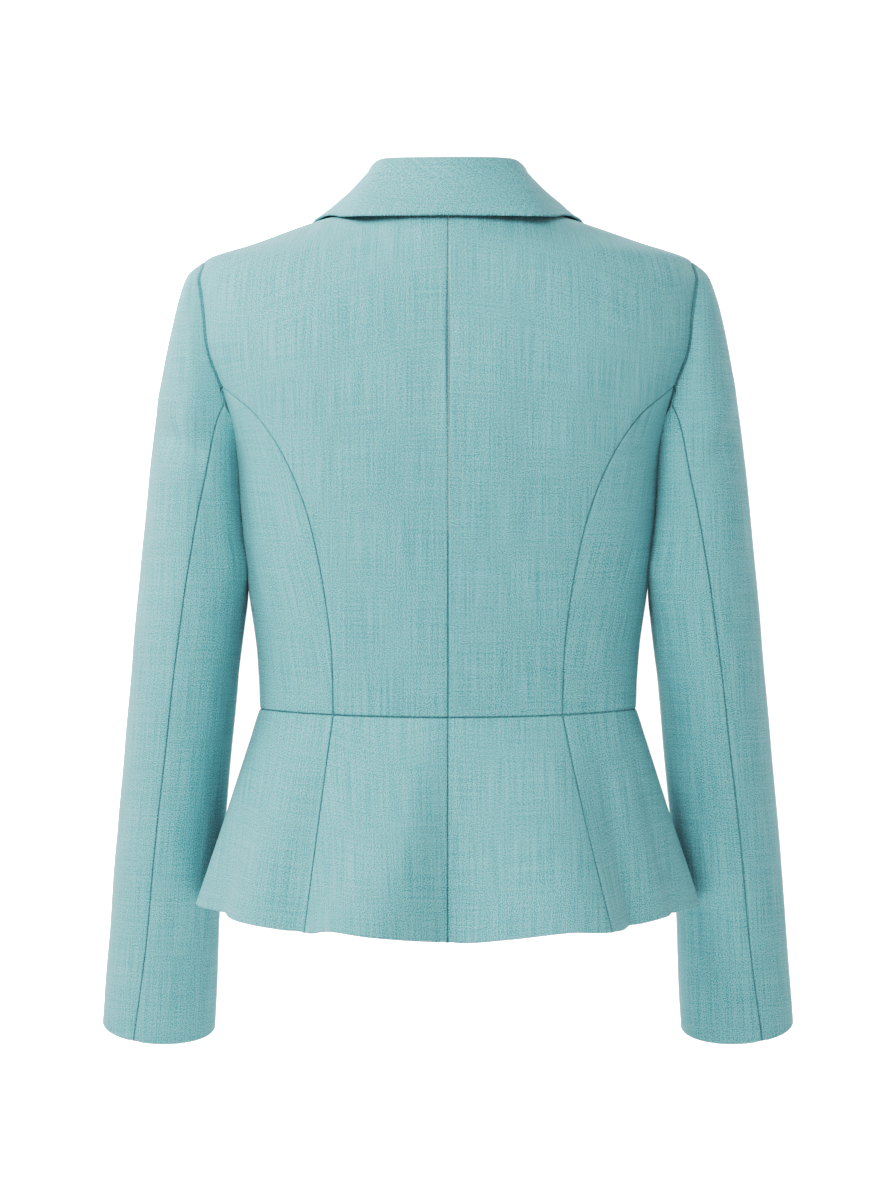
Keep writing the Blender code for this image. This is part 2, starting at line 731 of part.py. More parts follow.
for side_name, side in MIRROR.items():
    lapped = side_name == "right"
    pieces = {
        "back": body_piece(back_spot(), body_rows, BACK_COLUMNS),
        "side_back": body_piece(side_spot(front=False), SEAM_ROWS, SIDE_COLUMNS),
        "side_front": body_piece(side_spot(front=True), SEAM_ROWS, SIDE_COLUMNS),
        "front": body_piece(front_spot(), body_rows, FRONT_COLUMNS, lapped),
        "lapel": lapel_piece(lapped),
        "sleeve_upper": sleeve_piece(upper_turns),
        "sleeve_under": sleeve_piece(under_turns),
        "peplum_back": peplum_piece(0.0, BACK_PEPLUM_TURN, side),
        "peplum_side_back": peplum_piece(BACK_PEPLUM_TURN, QUARTER, side),
        "peplum_side_front": peplum_piece(QUARTER, FRONT_PEPLUM_TURN, side),
        "peplum_front": peplum_piece(FRONT_PEPLUM_TURN, math.pi, side, front_piece=True, lapped=lapped),
    }
    for piece_name, piece in pieces.items():
        add_wall(f"{piece_name}_{side_name}", piece, cloth, side)

add_wall("collar", collar_piece(), cloth, thickness=COLLAR_WALL)
add_button(button_plastic)
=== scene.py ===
"""Looks of the tailored jacket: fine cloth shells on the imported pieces, their wool, light and camera."""

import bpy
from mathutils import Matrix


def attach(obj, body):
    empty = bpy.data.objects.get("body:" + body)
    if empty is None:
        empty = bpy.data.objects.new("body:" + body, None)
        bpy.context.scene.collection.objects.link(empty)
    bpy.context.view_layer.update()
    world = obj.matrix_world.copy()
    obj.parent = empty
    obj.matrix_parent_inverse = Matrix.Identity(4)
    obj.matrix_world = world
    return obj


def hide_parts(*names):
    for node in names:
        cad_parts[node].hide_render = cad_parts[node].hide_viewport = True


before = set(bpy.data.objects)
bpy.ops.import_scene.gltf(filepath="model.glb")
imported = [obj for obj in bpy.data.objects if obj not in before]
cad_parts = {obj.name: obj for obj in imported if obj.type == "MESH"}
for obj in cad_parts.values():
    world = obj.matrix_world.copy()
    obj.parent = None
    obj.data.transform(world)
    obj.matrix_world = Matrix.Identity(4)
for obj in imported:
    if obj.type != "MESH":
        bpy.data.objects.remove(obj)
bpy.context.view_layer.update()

import math
from collections import namedtuple

import bpy
import numpy as np
from mathutils import Matrix, Vector

# Cloth, seams and how finely the shells are divided
WALL = 0.0015
COLLAR_WALL = 0.0020
LAPEL_WALL = 0.0010
SEAM_GAP = 0.00003
SEAM_DIP = 0.0007
SEAM_ROLL = 0.0005
# Painted shade: the cloth's colour is darkened along every seam, standing in for the shadow in the seam
# groove
SEAM_PAINTED_SHADE = 0.62
SEAM_PAINTED_SHADE_REACH = 0.0006
SEAM_SINK = 0.0003
SEAM_SINK_REACH = 0.004
PUCKER = 0.00018
PUCKER_REACH = 0.007
PUCKER_START = 0.002
PUCKER_SCALE = 0.016
UNEVEN = 0.0006
UNEVEN_SCALE = 0.09
UNEVEN_EDGE = 0.02
CREASE_EDGE = 0.008
CREASE_FADE = 0.8
NOISE_WAVES = 6
NOISE_SPREAD = (0.7, 1.6)
WEAVE_SHIFT = 3
CELL = 0.0036
EDGE_STEPS = (0.0004, 0.0009, 0.0016, 0.0028)
SIZES = {
    "back": (0.16, 0.42), "side_back": (0.085, 0.23), "side_front": (0.10, 0.22), "front": (0.14, 0.43),
    "sleeve_upper": (0.20, 0.60), "sleeve_under": (0.13, 0.50), "peplum": (0.13, 0.18), "lapel": (0.09, 0.28),
}
QUARTER = math.pi / 2

# How each edge of a piece is finished
SEAMED = dict.fromkeys(("start", "end", "bottom", "top"), "seam")
FRONT_PIECE = dict(SEAMED, start="free")
PEPLUM_PIECE = dict(SEAMED, bottom="free")
PEPLUM_FRONT = dict(PEPLUM_PIECE, end="free")
SLEEVE_PIECE = dict(PEPLUM_PIECE, top="tucked")
FREE = dict.fromkeys(SEAMED, "free")
COLLAR_PIECE = dict(FREE, start="seam")

# Body sections, from the waist to the side of the neck
Section = namedtuple("Section", "z half_width back front squareness")
TORSO = [Section(*row) for row in (
    (-0.396, 0.1506, 0.0820, 0.1000, 2.20),
    (-0.378, 0.1508, 0.0830, 0.1015, 2.20),
    (-0.346, 0.1526, 0.0865, 0.1075, 2.25),
    (-0.298, 0.1588, 0.0940, 0.1200, 2.30),
    (-0.240, 0.1667, 0.1045, 0.1340, 2.40),
    (-0.195, 0.1700, 0.1130, 0.1380, 2.50),
    (-0.167, 0.1755, 0.1165, 0.1310, 2.60),
    (-0.134, 0.1860, 0.1180, 0.1175, 2.75),
    (-0.105, 0.1986, 0.1160, 0.1040, 2.70),
    (-0.074, 0.2040, 0.1115, 0.0900, 2.40),
    (-0.050, 0.2065, 0.1065, 0.0800, 2.05),
    (-0.031, 0.1950, 0.1010, 0.0720, 1.75),
    (-0.0168, 0.1538, 0.0965, 0.0630, 1.70),
    (-0.003, 0.1140, 0.0900, 0.0540, 1.85),
    (0.008, 0.0800, 0.0785, 0.0460, 2.10),
    (0.0100, 0.0740, 0.0760, 0.0445, 2.20),
)]
SHOULDER_TIP_Z = -0.031
NECK_BACK_Z = 0.008
NECK_SIDE_Z = 0.0095
JOIN_LEVEL_Z = -0.115
JOIN_V = 8 / 15
NECK_U = 3 / 8

# Armhole, an egg on the body seen from the side
ARM_BOTTOM_Z = -0.195
ARM_MIDDLE_Z = (SHOULDER_TIP_Z + ARM_BOTTOM_Z) / 2
ARM_REACH_BACK = 0.055
ARM_REACH_FRONT = 0.050
BACK_JOIN_TURN = math.radians(104.5)
FRONT_JOIN_TURN = math.radians(245.0)

# Seams and edges on the body: rows of height and distance from the centre plane
BACK_PRINCESS = [
    (-0.396, 0.0898), (-0.348, 0.0908), (-0.302, 0.0957),
    (-0.245, 0.1068), (-0.200, 0.1230), (-0.160, 0.1480),
]
FRONT_PRINCESS = [
    (-0.396, 0.0780), (-0.300, 0.0880), (-0.240, 0.1000),
    (-0.200, 0.1190), (-0.170, 0.1450),
]
LAP = 0.015
FRONT_EDGE = [
    (-0.400, -LAP), (-0.330, -LAP), (-0.300, -0.0110),
    (-0.030, 0.0645), (-0.010, 0.0700), (NECK_SIDE_Z, 0.0755),
]
LAP_LIFT = 0.0054
LAP_FULL_X = 0.018
LAP_END_X = 0.070

# Waist seam and peplum
WAIST_SIDE_Z = -0.388
WAIST_CENTRE_DROP = 0.005
HEM_SIDE_Z = -0.5435
HEM_CENTRE_DROP = 0.0165
HEM_HALF_WIDTH = 0.1925
HEM_BACK = 0.146
HEM_FRONT = 0.152
HEM_SQUARENESS = 2.05
BACK_PEPLUM_TURN = math.radians(34.5)
FRONT_PEPLUM_TURN = math.radians(151.0)
CUTAWAY_X = 0.048
CUTAWAY_SWEEP = 1.4
# Uneven hem: rows of degrees round from the centre back, left positive, and how far it drops
HEM_WAVE = [
    (-180, 0.0), (-58, 0.0), (-45, 0.0015), (-33, -0.0010), (-24, -0.0040),
    (-13, -0.0010), (-3, 0.0018), (6, -0.0006), (13, -0.0030), (22, -0.0052),
    (35, 0.0016), (50, -0.0006), (180, 0.0),
]
Flute = namedtuple("Flute", "low waist_turn hem_turn high height")
FLUTES = [
    Flute(-1, 4, 17, 35, 0.034), Flute(36, 45, 47, 66, 0.016), Flute(64, 84, 84, 104, 0.009),
    Flute(106, 126, 126, 146, 0.007), Flute(-47, -27, -30, -1, 0.030), Flute(-66, -56, -57, -46, 0.006),
    Flute(-104, -84, -84, -64, 0.009), Flute(-144, -124, -124, -104, 0.007),
]
FLUTE_SHARPNESS = 0.7
FLUTE_GROWTH = 1.2

# Sleeve rings, from the armhole to the cuff
Ring = namedtuple("Ring", "outer_x outer_z inner_x inner_z back front y tilt seam_turn cap")
SLEEVE = [Ring(*row) for row in (
    (0.1950, -0.0310, 0.1700, -0.1950, 0.0550, 0.0500, 0.000, 0.00, 104.5, 1.00),
    (0.2074, -0.0420, 0.1714, -0.1975, 0.0570, 0.0530, 0.000, 0.00, 112.0, 0.75),
    (0.2144, -0.0600, 0.1715, -0.2005, 0.0590, 0.0560, 0.000, 0.00, 111.5, 0.50),
    (0.2210, -0.0860, 0.1711, -0.2050, 0.0610, 0.0590, 0.000, 0.00, 110.5, 0.28),
    (0.2281, -0.1230, 0.1706, -0.2120, 0.0625, 0.0610, 0.000, 0.00, 109.5, 0.10),
    (0.2336, -0.1600, 0.1695, -0.2250, 0.0630, 0.0620, 0.000, 0.00, 107.0, 0.00),
    (0.2382, -0.2000, 0.1678, -0.2440, 0.0625, 0.0620, 0.000, 0.00, 102.0, 0.00),
    (0.2429, -0.2450, 0.1646, -0.2680, 0.0615, 0.0610, -0.001, 0.00, 95.0, 0.00),
    (0.2480, -0.2980, 0.1604, -0.2980, 0.0600, 0.0600, -0.003, 0.02, 86.0, 0.00),
    (0.2544, -0.3620, 0.1679, -0.3620, 0.0570, 0.0570, -0.012, 0.12, 82.0, 0.00),
    (0.2597, -0.4106, 0.1731, -0.4106, 0.0550, 0.0550, -0.027, 0.20, 80.0, 0.00),
    (0.2657, -0.4598, 0.1783, -0.4598, 0.0525, 0.0525, -0.042, 0.24, 78.0, 0.00),
    (0.2709, -0.5093, 0.1836, -0.5093, 0.0500, 0.0500, -0.054, 0.26, 77.0, 0.00),
    (0.2753, -0.5592, 0.1866, -0.5592, 0.0470, 0.0470, -0.0655, 0.27, 75.0, 0.00),
    (0.2803, -0.6090, 0.1890, -0.6105, 0.0445, 0.0445, -0.077, 0.27, 71.0, 0.00),
    (0.2839, -0.6475, 0.1917, -0.6528, 0.0425, 0.0425, -0.0865, 0.27, 67.0, 0.00),
)]
SLEEVE_FRONT_SEAM = math.radians(245.0)
ARM_X = 0.21
# Weave along the arm, even into the sleeve head
SLEEVE_GIRTH = 0.048
SLEEVE_SLANT = 1.03
HEAD_END = 5
# Sleeve head tucked under the armhole edge
TUCK_UNDER = 0.0022
TUCK_DEPTH = 0.0017
TUCK_RINGS = 0.14
# Painted shade on the sleeve: its colour darkens where it comes out from under the armhole edge, standing in
# for the edge's shadow
TUCK_HIDDEN = 0.0048
TUCK_PAINTED_SHADE_REACH = 0.0012
# Upper sleeve resting on the body and pressed to it
SLEEVE_REST = 0.0005
REST_SIDE = 0.1
REST_END = 7.2
REST_FADE = 1.2
PRESS = 0.007
PRESS_START = math.radians(95)
PRESS_END = math.radians(150)
PRESS_BLEND = math.radians(30)

# Collar stations, from the centre back round to the gorge on the front
Station = namedtuple("Station", "fold mid edge")
COLLAR = [
    Station((0.000, 0.0780, 0.0430), (0.000, 0.0890, 0.0200), (0.000, 0.0950, -0.0026)),
    Station((0.0505, 0.0585, 0.0440), (0.060, 0.0720, 0.0205), (0.067, 0.0820, -0.0022)),
    Station((0.0625, 0.0080, 0.0372), (0.0820, 0.0110, 0.0195), (0.1005, 0.0130, 0.0030)),
    Station((0.0625, -0.0340, 0.0100), (0.0880, -0.0320, 0.0010), (0.1120, -0.0240, -0.0060)),
    Station((0.0640, -0.0700, -0.0235), (0.1000, -0.0620, -0.0560), (0.1220, -0.0440, -0.0400)),
]
COLLAR_LENGTH = 0.46
COLLAR_STEPS = 56
FALL_START = 3.6
FOLD_ROLL = 0.003
FALL_CLEAR = 0.0023
NECK_BLEND = 0.006
FOOT_IN = 0.0027
FOOT_UP = -0.0025
GORGE_Z = -0.030

# Lapel, laid on the front
LAPEL_POINT_X = 0.128
LAPEL_POINT_Z = -0.081
LAPEL_BREAK_Z = -0.305
LAPEL_BREAK_WIDTH = 0.004
LAPEL_BELLY = 0.85
LAPEL_TOP_GAP = 0.0008
LAPEL_LIFT = 0.0027
LAPEL_ROLL_SIDES = 7
LAPEL_ROLL_U = 0.05

# Creases by piece, from one end to the other: distance across the cloth and height, then width and depth.
# Across runs from the centre back on the back, from the side seam on the sides (back negative), from the
# centre front on the fronts (negative), and round from the outer line on the sleeves (back positive).
Crease = namedtuple("Crease", "across_1 z_1 across_2 z_2 width depth")
CREASE_ROWS = {
    "sleeve_upper_left": [
        (0.012, -0.162, 0.098, -0.194, 0.0115, 0.0062),
        (0.006, -0.136, 0.092, -0.168, 0.012, -0.0020),
        (0.070, -0.262, 0.010, -0.300, 0.012, 0.0012),
        (0.020, -0.345, 0.075, -0.372, 0.012, 0.0011),
        (-0.095, -0.338, -0.020, -0.366, 0.009, 0.0018),
        (-0.098, -0.388, -0.030, -0.380, 0.010, 0.0016),
        (0.062, -0.470, 0.000, -0.498, 0.013, 0.0010),
        (-0.090, -0.165, -0.015, -0.215, 0.011, 0.0018),
    ],
    "sleeve_under_left": [
        (0.085, -0.226, 0.135, -0.262, 0.010, 0.0020),
        (0.085, -0.300, 0.130, -0.322, 0.011, 0.0011),
        (0.150, -0.352, 0.205, -0.366, 0.009, 0.0014),
        (0.075, -0.450, 0.125, -0.474, 0.012, 0.0010),
    ],
    "sleeve_upper_right": [
        (0.018, -0.158, 0.096, -0.212, 0.0105, 0.0040),
        (0.008, -0.124, 0.094, -0.174, 0.012, -0.0015),
        (0.074, -0.285, 0.014, -0.318, 0.012, 0.0012),
        (0.016, -0.366, 0.070, -0.396, 0.013, 0.0011),
        (-0.096, -0.346, -0.024, -0.372, 0.009, 0.0018),
        (-0.096, -0.398, -0.026, -0.392, 0.010, 0.0015),
        (0.060, -0.505, 0.004, -0.530, 0.013, 0.0010),
        (-0.088, -0.172, -0.018, -0.224, 0.012, 0.0017),
    ],
    "sleeve_under_right": [
        (0.086, -0.236, 0.132, -0.268, 0.010, 0.0018),
        (0.084, -0.318, 0.128, -0.342, 0.011, 0.0011),
        (0.152, -0.360, 0.204, -0.376, 0.009, 0.0014),
        (0.074, -0.470, 0.122, -0.492, 0.012, 0.0009),
    ],
    "back_left": [
        (0.162, -0.092, 0.120, -0.172, 0.011, 0.0018),
        (0.086, -0.060, 0.078, -0.230, 0.016, 0.0012),
        (0.014, -0.060, 0.010, -0.230, 0.012, 0.0013),
        (0.030, -0.330, 0.085, -0.352, 0.011, 0.0007),
    ],
    "back_right": [
        (0.160, -0.098, 0.116, -0.176, 0.012, 0.0017),
        (0.075, -0.050, 0.066, -0.240, 0.015, 0.0016),
        (0.038, -0.070, 0.034, -0.250, 0.014, -0.0010),
        (0.036, -0.342, 0.084, -0.330, 0.011, 0.0007),
    ],
    "side_back_left": [(-0.075, -0.318, -0.004, -0.338, 0.010, 0.0009)],
    "side_back_right": [(-0.074, -0.330, -0.006, -0.346, 0.011, 0.0009)],
    "side_front_left": [(0.006, -0.330, 0.080, -0.318, 0.010, 0.0010)],
    "side_front_right": [(0.004, -0.338, 0.078, -0.322, 0.011, 0.0010)],
    "front_left": [
        (-0.022, -0.348, -0.088, -0.322, 0.008, 0.0012),
        (-0.030, -0.372, -0.080, -0.380, 0.008, 0.0010),
        (-0.150, -0.100, -0.118, -0.176, 0.012, 0.0015),
    ],
    "front_right": [
        (-0.020, -0.340, -0.086, -0.312, 0.009, 0.0012),
        (-0.026, -0.362, -0.082, -0.368, 0.008, 0.0011),
        (-0.152, -0.106, -0.120, -0.182, 0.012, 0.0014),
    ],
}
CREASES = {piece: [Crease(*row) for row in rows] for piece, rows in CREASE_ROWS.items()}

# Button and buttonhole; the profile is in shares of radius and height, from the dish round the rim and under
BUTTON_Z = -0.345
BUTTON_RADIUS = 0.011
BUTTON_HEIGHT = 0.0036
BUTTON_DISH = 0.0009
BUTTON_PROFILE = (
    (0.60, 0.75), (0.67, 0.7875), (0.73, 0.9375), (0.80, 1.0), (0.88, 0.985),
    (0.95, 0.86), (1.0, 0.60), (0.975, 0.30), (0.90, 0.08), (0.80, 0.0),
)
BUTTON_SHANK = 0.0007
BUTTON_SIDES = 64
BUTTON_SHARP = math.radians(35)
BUTTON_HOLE_RADIUS = 0.0009
BUTTON_HOLE_OUT = 0.0019
THREAD_RADIUS = 0.00024
THREAD_STRANDS = (-0.00042, 0.0, 0.00042)
THREAD_ARCH = 0.0007
THREAD_STEPS = 12
THREAD_FLATNESS = 4
THREAD_PLUNGE = 12
THREAD_ASKEW = (0.31, 0.52, 0.80)
SHANK_RADIUS = 0.0022
SHANK_STEPS = 32
SHANK_LEVELS = (0.2, 0.55, 0.9)
HOLE_NEAR_X = -0.003
HOLE_FAR_X = 0.021
HOLE_HALF_GAP = 0.0005
STITCH_LENGTH = 0.0017
STITCH_STEP = 0.00062
STITCH_LIFT = 0.0002

# Wool: three kinds of fibre noise, scaled per metre across and along the warp, and the tones they mix
Fibre = namedtuple("Fibre", "across along detail share")
WARP = Fibre(850, 16, 2.0, 0.26)
WEFT = Fibre(18, 850, 2.0, 0.14)
GRAIN = Fibre(1300, 1200, 0.0, 0.60)
Tone = namedtuple("Tone", "place color")
WOOL_DEEP = Tone(0.34, (0.075, 0.225, 0.248, 1.0))
WOOL_MIDDLE = Tone(0.50, (0.163, 0.372, 0.400, 1.0))
WOOL_PALE = Tone(0.66, (0.300, 0.560, 0.590, 1.0))
# Deep tone that the wool's colour is multiplied towards for the painted seam shadow
SEAM_SHADOW_TONE = (0.05, 0.12, 0.13, 1.0)
WOOL_BUMP = {"Strength": 0.12, "Distance": 0.0004}
WOOL_SURFACE = {
    "Roughness": 0.9, "Specular IOR Level": 0.18,
    "Sheen Weight": 0.08, "Sheen Roughness": 0.5, "Sheen Tint": (1.0, 0.98, 0.97, 1.0),
}

# Button plastic and sewing thread: two shades clouded by fine noise
Clouded = namedtuple("Clouded", "name deep pale scale roughness")
BUTTON_PLASTIC = Clouded("button", (0.022, 0.085, 0.098, 1.0), (0.040, 0.130, 0.145, 1.0), 260.0, 0.32)
SEWING_THREAD = Clouded("thread", (0.080, 0.240, 0.262, 1.0), (0.130, 0.330, 0.352, 1.0), 3000.0, 0.55)

# Stage, lights, camera and the camera's response
FLOOR_Z = -1.0
FLOOR_NEAR_Y = 4.5
FLOOR_HALF_WIDTH = 14.0
BEND_Y = -4.5
BEND_RADIUS = 1.5
BEND_STEPS = 12
BACKDROP_TOP_Z = 10.0
GLOW_BY_Y = {"From Min": -0.7, "From Max": -1.4, "To Max": 0.93}
WHITE = (1, 1, 1, 1)
PAPER = {"Base Color": (0.9, 0.9, 0.9, 1), "Roughness": 0.9, "Emission Color": WHITE}
Light = namedtuple("Light", "name place target size watts")
LIGHTS = [
    Light("key", (0.61, 1.42, 0.72), (0.0, 0.0, -0.3), 0.9, 16),
    Light("side", (1.46, 0.30, 0.86), (0.0, 0.0, -0.2), 0.9, 15.5),
    Light("fill", (-1.50, 0.50, 0.30), (0.0, 0.0, -0.3), 1.2, 2.2),
    Light("front_soft", (0.8, -2.0, 1.2), (0.0, 0.0, -0.3), 2.0, 20),
]
WORLD_STRENGTH = 0.10
SENSOR = 36.0
CAMERA_Y = 3.0
CAMERA_Z = -0.30
VIEW_HEIGHT = 0.9568
FILM = ((0.054, 0.084), (0.12, 0.254), (0.27, 0.485), (0.6, 0.687))


class Curve:
    """A smooth curve through table rows that never overshoots them."""

    def __init__(self, keys, values):
        self.keys = np.array(keys, float)
        self.values = np.array(values, float)
        slopes = np.diff(self.values) / np.diff(self.keys)
        before = slopes[:-1]
        after = slopes[1:]
        same_way = before * after > 0
        total = np.where(same_way, before + after, 1.0)
        inner = np.where(same_way, 2 * before * after / total, 0.0)
        self.slopes = np.concatenate([slopes[:1], inner, slopes[-1:]])

    def __call__(self, at):
        at = np.clip(at, self.keys[0], self.keys[-1])
        index = np.clip(np.searchsorted(self.keys, at, side="right") - 1, 0, len(self.keys) - 2)
        span = self.keys[index + 1] - self.keys[index]
        t = (at - self.keys[index]) / span
        blend = t * t * (3 - 2 * t)
        value = self.values[index] * (1 - blend) + self.values[index + 1] * blend
        value = value + self.slopes[index] * span * t * (1 - t) ** 2
        return value - self.slopes[index + 1] * span * t * t * (1 - t)


def columns(rows, key=None):
    """One curve for each column of a table, by the key column or by row number."""
    keys = [getattr(row, key) for row in rows] if key else range(len(rows))
    names = [name for name in rows[0]._fields if name != key]
    return {name: Curve(keys, [getattr(row, name) for row in rows]) for name in names}


def lerp(a, b, t):
    return a + (b - a) * t


def smooth(t):
    t = np.clip(t, 0.0, 1.0)
    return t * t * (3 - 2 * t)


def ease_out(t):
    return 1 - (1 - t) ** 2


def power(base, exponent):
    return np.sign(base) * np.abs(base) ** exponent


def unit(vectors):
    return vectors / np.maximum(np.linalg.norm(vectors, axis=-1, keepdims=True), 1e-12)


BODY = columns(TORSO, "z")


def depth_at(toward_back, z):
    return np.where(toward_back > 0, BODY["back"](z), BODY["front"](z))


def torso(turn, z):
    """Points of the body's outer face: turn 0 is centre back, a quarter is the side."""
    turn, z = np.broadcast_arrays(turn, z)
    exponent = 2 / BODY["squareness"](z)
    x = BODY["half_width"](z) * power(np.sin(turn), exponent)
    y = depth_at(np.cos(turn), z) * power(np.cos(turn), exponent)
    return np.stack([x, y, z], axis=-1)


def body_level(points):
    """Zero on the body's outer face, positive outside it."""
    x, y, z = np.moveaxis(points, -1, 0)
    square = BODY["squareness"](z)
    return (np.abs(x) / BODY["half_width"](z)) ** square + (np.abs(y) / depth_at(y, z)) ** square - 1


def body_slope(points, step=0.0002):
    rises = [body_level(points + axis) - body_level(points - axis) for axis in np.eye(3) * step]
    return np.stack(rises, axis=-1) / (2 * step)


def lay_on_body(points, clear):
    """The points themselves, or moved out until they lie clear of the body, open above the neck edge."""
    hold = 1 - smooth((points[..., 2] - NECK_SIDE_Z) / NECK_BLEND)
    for _ in range(4):
        slope = body_slope(points)
        steep = np.linalg.norm(slope, axis=-1)
        short = np.maximum(clear - body_level(points) / steep, 0) * hold
        points = points + slope / steep[..., None] * short[..., None]
    return points


def turn_at_x(x, z, front=False):
    """The turn where the body is this far from the centre plane."""
    share = np.minimum(np.abs(x) / BODY["half_width"](z), 1.0)
    turn = np.sign(x) * np.arcsin(share ** (BODY["squareness"](z) / 2))
    return math.pi - turn if front else turn


def armhole(turn):
    """Armhole edge on the body: 0 at the shoulder tip, then back, underarm and front."""
    z = ARM_MIDDLE_Z + (SHOULDER_TIP_Z - ARM_MIDDLE_Z) * np.cos(turn)
    y = np.where(np.sin(turn) > 0, ARM_REACH_BACK, ARM_REACH_FRONT) * np.sin(turn)
    return np.arccos(power(y / depth_at(y, z), BODY["squareness"](z) / 2)), z


def waist_z(turn):
    return WAIST_SIDE_Z - WAIST_CENTRE_DROP * np.cos(turn) ** 2


def seam_curve(rows, join):
    return Curve(*zip(*rows, (float(join[1]), torso(*join)[0])))


BACK_JOIN = armhole(BACK_JOIN_TURN)
FRONT_JOIN = armhole(FRONT_JOIN_TURN)
BACK_SEAM = seam_curve(BACK_PRINCESS, BACK_JOIN)
FRONT_SEAM = seam_curve(FRONT_PRINCESS, FRONT_JOIN)
EDGE = Curve(*zip(*FRONT_EDGE))


def princess(share, front):
    """Princess seam from the waist up to the armhole, as turn and height."""
    join, seam, start = BACK_JOIN, BACK_SEAM, BACK_PEPLUM_TURN
    if front:
        join, seam, start = FRONT_JOIN, FRONT_SEAM, FRONT_PEPLUM_TURN
    z = lerp(waist_z(start), join[1], np.clip(share, 0, 1))
    return turn_at_x(seam(z), z, front), z


def front_edge(z):
    return turn_at_x(EDGE(z), z, front=True), z


def above_join(v):
    return np.maximum(0.0, (v - JOIN_V) / (1 - JOIN_V))


def rise(v, bottom, join, top):
    """Height along a centre edge, with its rows closing up towards the top."""
    return np.where(v < JOIN_V, lerp(bottom, join, v / JOIN_V), lerp(join, top, ease_out(above_join(v))))


def shoulder(share):
    return QUARTER + 0 * share, lerp(NECK_SIDE_Z, SHOULDER_TIP_Z, share)


def choose(test, one, other):
    return tuple(np.where(test, a, b) for a, b in zip(one, other))


def patch(left, right, top, bend):
    """Points over a piece with the waist seam below and its own bent edge on top."""
    def between(u, v):
        return [lerp(a, b, u) for a, b in zip(left(v), right(v))]

    def surface(u, v):
        one = np.ones_like(v)
        turn, z = [a + bend(v) * (b - c) for a, b, c in zip(between(u, v), top(u), between(u, one))]
        foot_turn, foot_z = between(u, 0 * v)
        return torso(turn, z + (waist_z(foot_turn) - foot_z) * (1 - v) ** 3)
    return surface


def back_surface():
    def left(v):
        return 0 * v, rise(v, waist_z(0.0), JOIN_LEVEL_Z, NECK_BACK_Z)

    def right(v):
        below = princess(v / JOIN_V, front=False)
        return choose(v < JOIN_V, below, armhole(BACK_JOIN_TURN * (1 - above_join(v))))

    def top(u):
        share = np.minimum(u / NECK_U, 1)
        neck = (QUARTER * share, lerp(NECK_BACK_Z, NECK_SIDE_Z, share * share))
        return choose(u < NECK_U, neck, shoulder((u - NECK_U) / (1 - NECK_U)))

    return patch(left, right, top, lambda v: ease_out(above_join(v)))


def front_surface():
    def left(v):
        return front_edge(rise(v, waist_z(math.pi), JOIN_LEVEL_Z, NECK_SIDE_Z))

    def right(v):
        below = princess(v / JOIN_V, front=True)
        return choose(v < JOIN_V, below, armhole(lerp(FRONT_JOIN_TURN, 2 * math.pi, above_join(v))))

    return patch(left, right, shoulder, lambda v: ease_out(above_join(v)))


def side_surface(front):
    """Side back or side front, from its princess seam to the side seam."""
    join_turn = FRONT_JOIN_TURN if front else BACK_JOIN_TURN

    def right(v):
        return QUARTER + 0 * v, lerp(waist_z(QUARTER), ARM_BOTTOM_Z, v)

    def top(u):
        return armhole(lerp(join_turn, math.pi, u))

    return patch(lambda v: princess(v, front), right, top, lambda v: v * v)


def lap_over(points):
    """The lapping front stands off the other front near the centre."""
    way = body_slope(points) * np.array((1, 1, 0))
    lift = LAP_LIFT * smooth((LAP_END_X - points[..., 0]) / (LAP_END_X - LAP_FULL_X))
    return points + unit(way) * lift[..., None]


HEM_DROP = Curve(*zip(*HEM_WAVE))


def flute_height(turn, v):
    """How far the flutes stand out at a share of the way from the waist down to the hem."""
    total = 0 * turn
    degrees = np.degrees(turn)
    for flute in FLUTES:
        crest = lerp(flute.waist_turn, flute.hem_turn, v)
        valley = np.where(degrees < crest, flute.low, flute.high)
        away = np.clip((degrees - crest) / (valley - crest), 0, 1)
        total = total + flute.height * (0.5 + 0.5 * np.cos(math.pi * away)) ** FLUTE_SHARPNESS
    return total * v ** FLUTE_GROWTH


def peplum(turn, v, side):
    """Peplum outer face from the waist seam (0) to the hem (1); turn runs from the centre back."""
    top = waist_z(turn)
    exponent = 2 / lerp(BODY["squareness"](top), HEM_SQUARENESS, v)
    width = lerp(BODY["half_width"](top), HEM_HALF_WIDTH, v)
    depth = lerp(depth_at(np.cos(turn), top), np.where(np.cos(turn) > 0, HEM_BACK, HEM_FRONT), v)
    flute = flute_height(turn * side, v)
    x = width * power(np.sin(turn), exponent) + flute * np.sin(turn)
    y = depth * power(np.cos(turn), exponent) + flute * np.cos(turn)
    hem = HEM_SIDE_Z - HEM_CENTRE_DROP * np.cos(turn) ** 2 - HEM_DROP(np.degrees(turn * side))
    return np.stack([x, y, lerp(top, hem, v)], axis=-1)


def peplum_surface(start, end, side, front_piece=False, lapped=False):
    def surface(u, v):
        down = 1 - v
        edge = end + 0 * down
        if front_piece:
            x = lerp(-LAP, CUTAWAY_X, down ** CUTAWAY_SWEEP)
            width = lerp(BODY["half_width"](WAIST_SIDE_Z), HEM_HALF_WIDTH, down)
            edge = math.pi - np.sign(x) * np.arcsin((np.abs(x) / width) ** (HEM_SQUARENESS / 2))
        turn, down = np.broadcast_arrays(lerp(start, edge, u), down)
        points = peplum(turn, down, side)
        return lap_over(points) if lapped else points
    return surface


RINGS = columns(SLEEVE)


def armhole_inward(turn, step=0.01):
    """The way across the armhole edge into the hole."""
    points = torso(*armhole(turn))
    along = torso(*armhole(turn + step)) - torso(*armhole(turn - step))
    across = unit(np.cross(body_slope(points), along))
    hole = np.stack([points[..., 0], 0 * turn, ARM_MIDDLE_Z + 0 * turn], axis=-1) - points
    return across * np.sign((across * hole).sum(-1, keepdims=True))


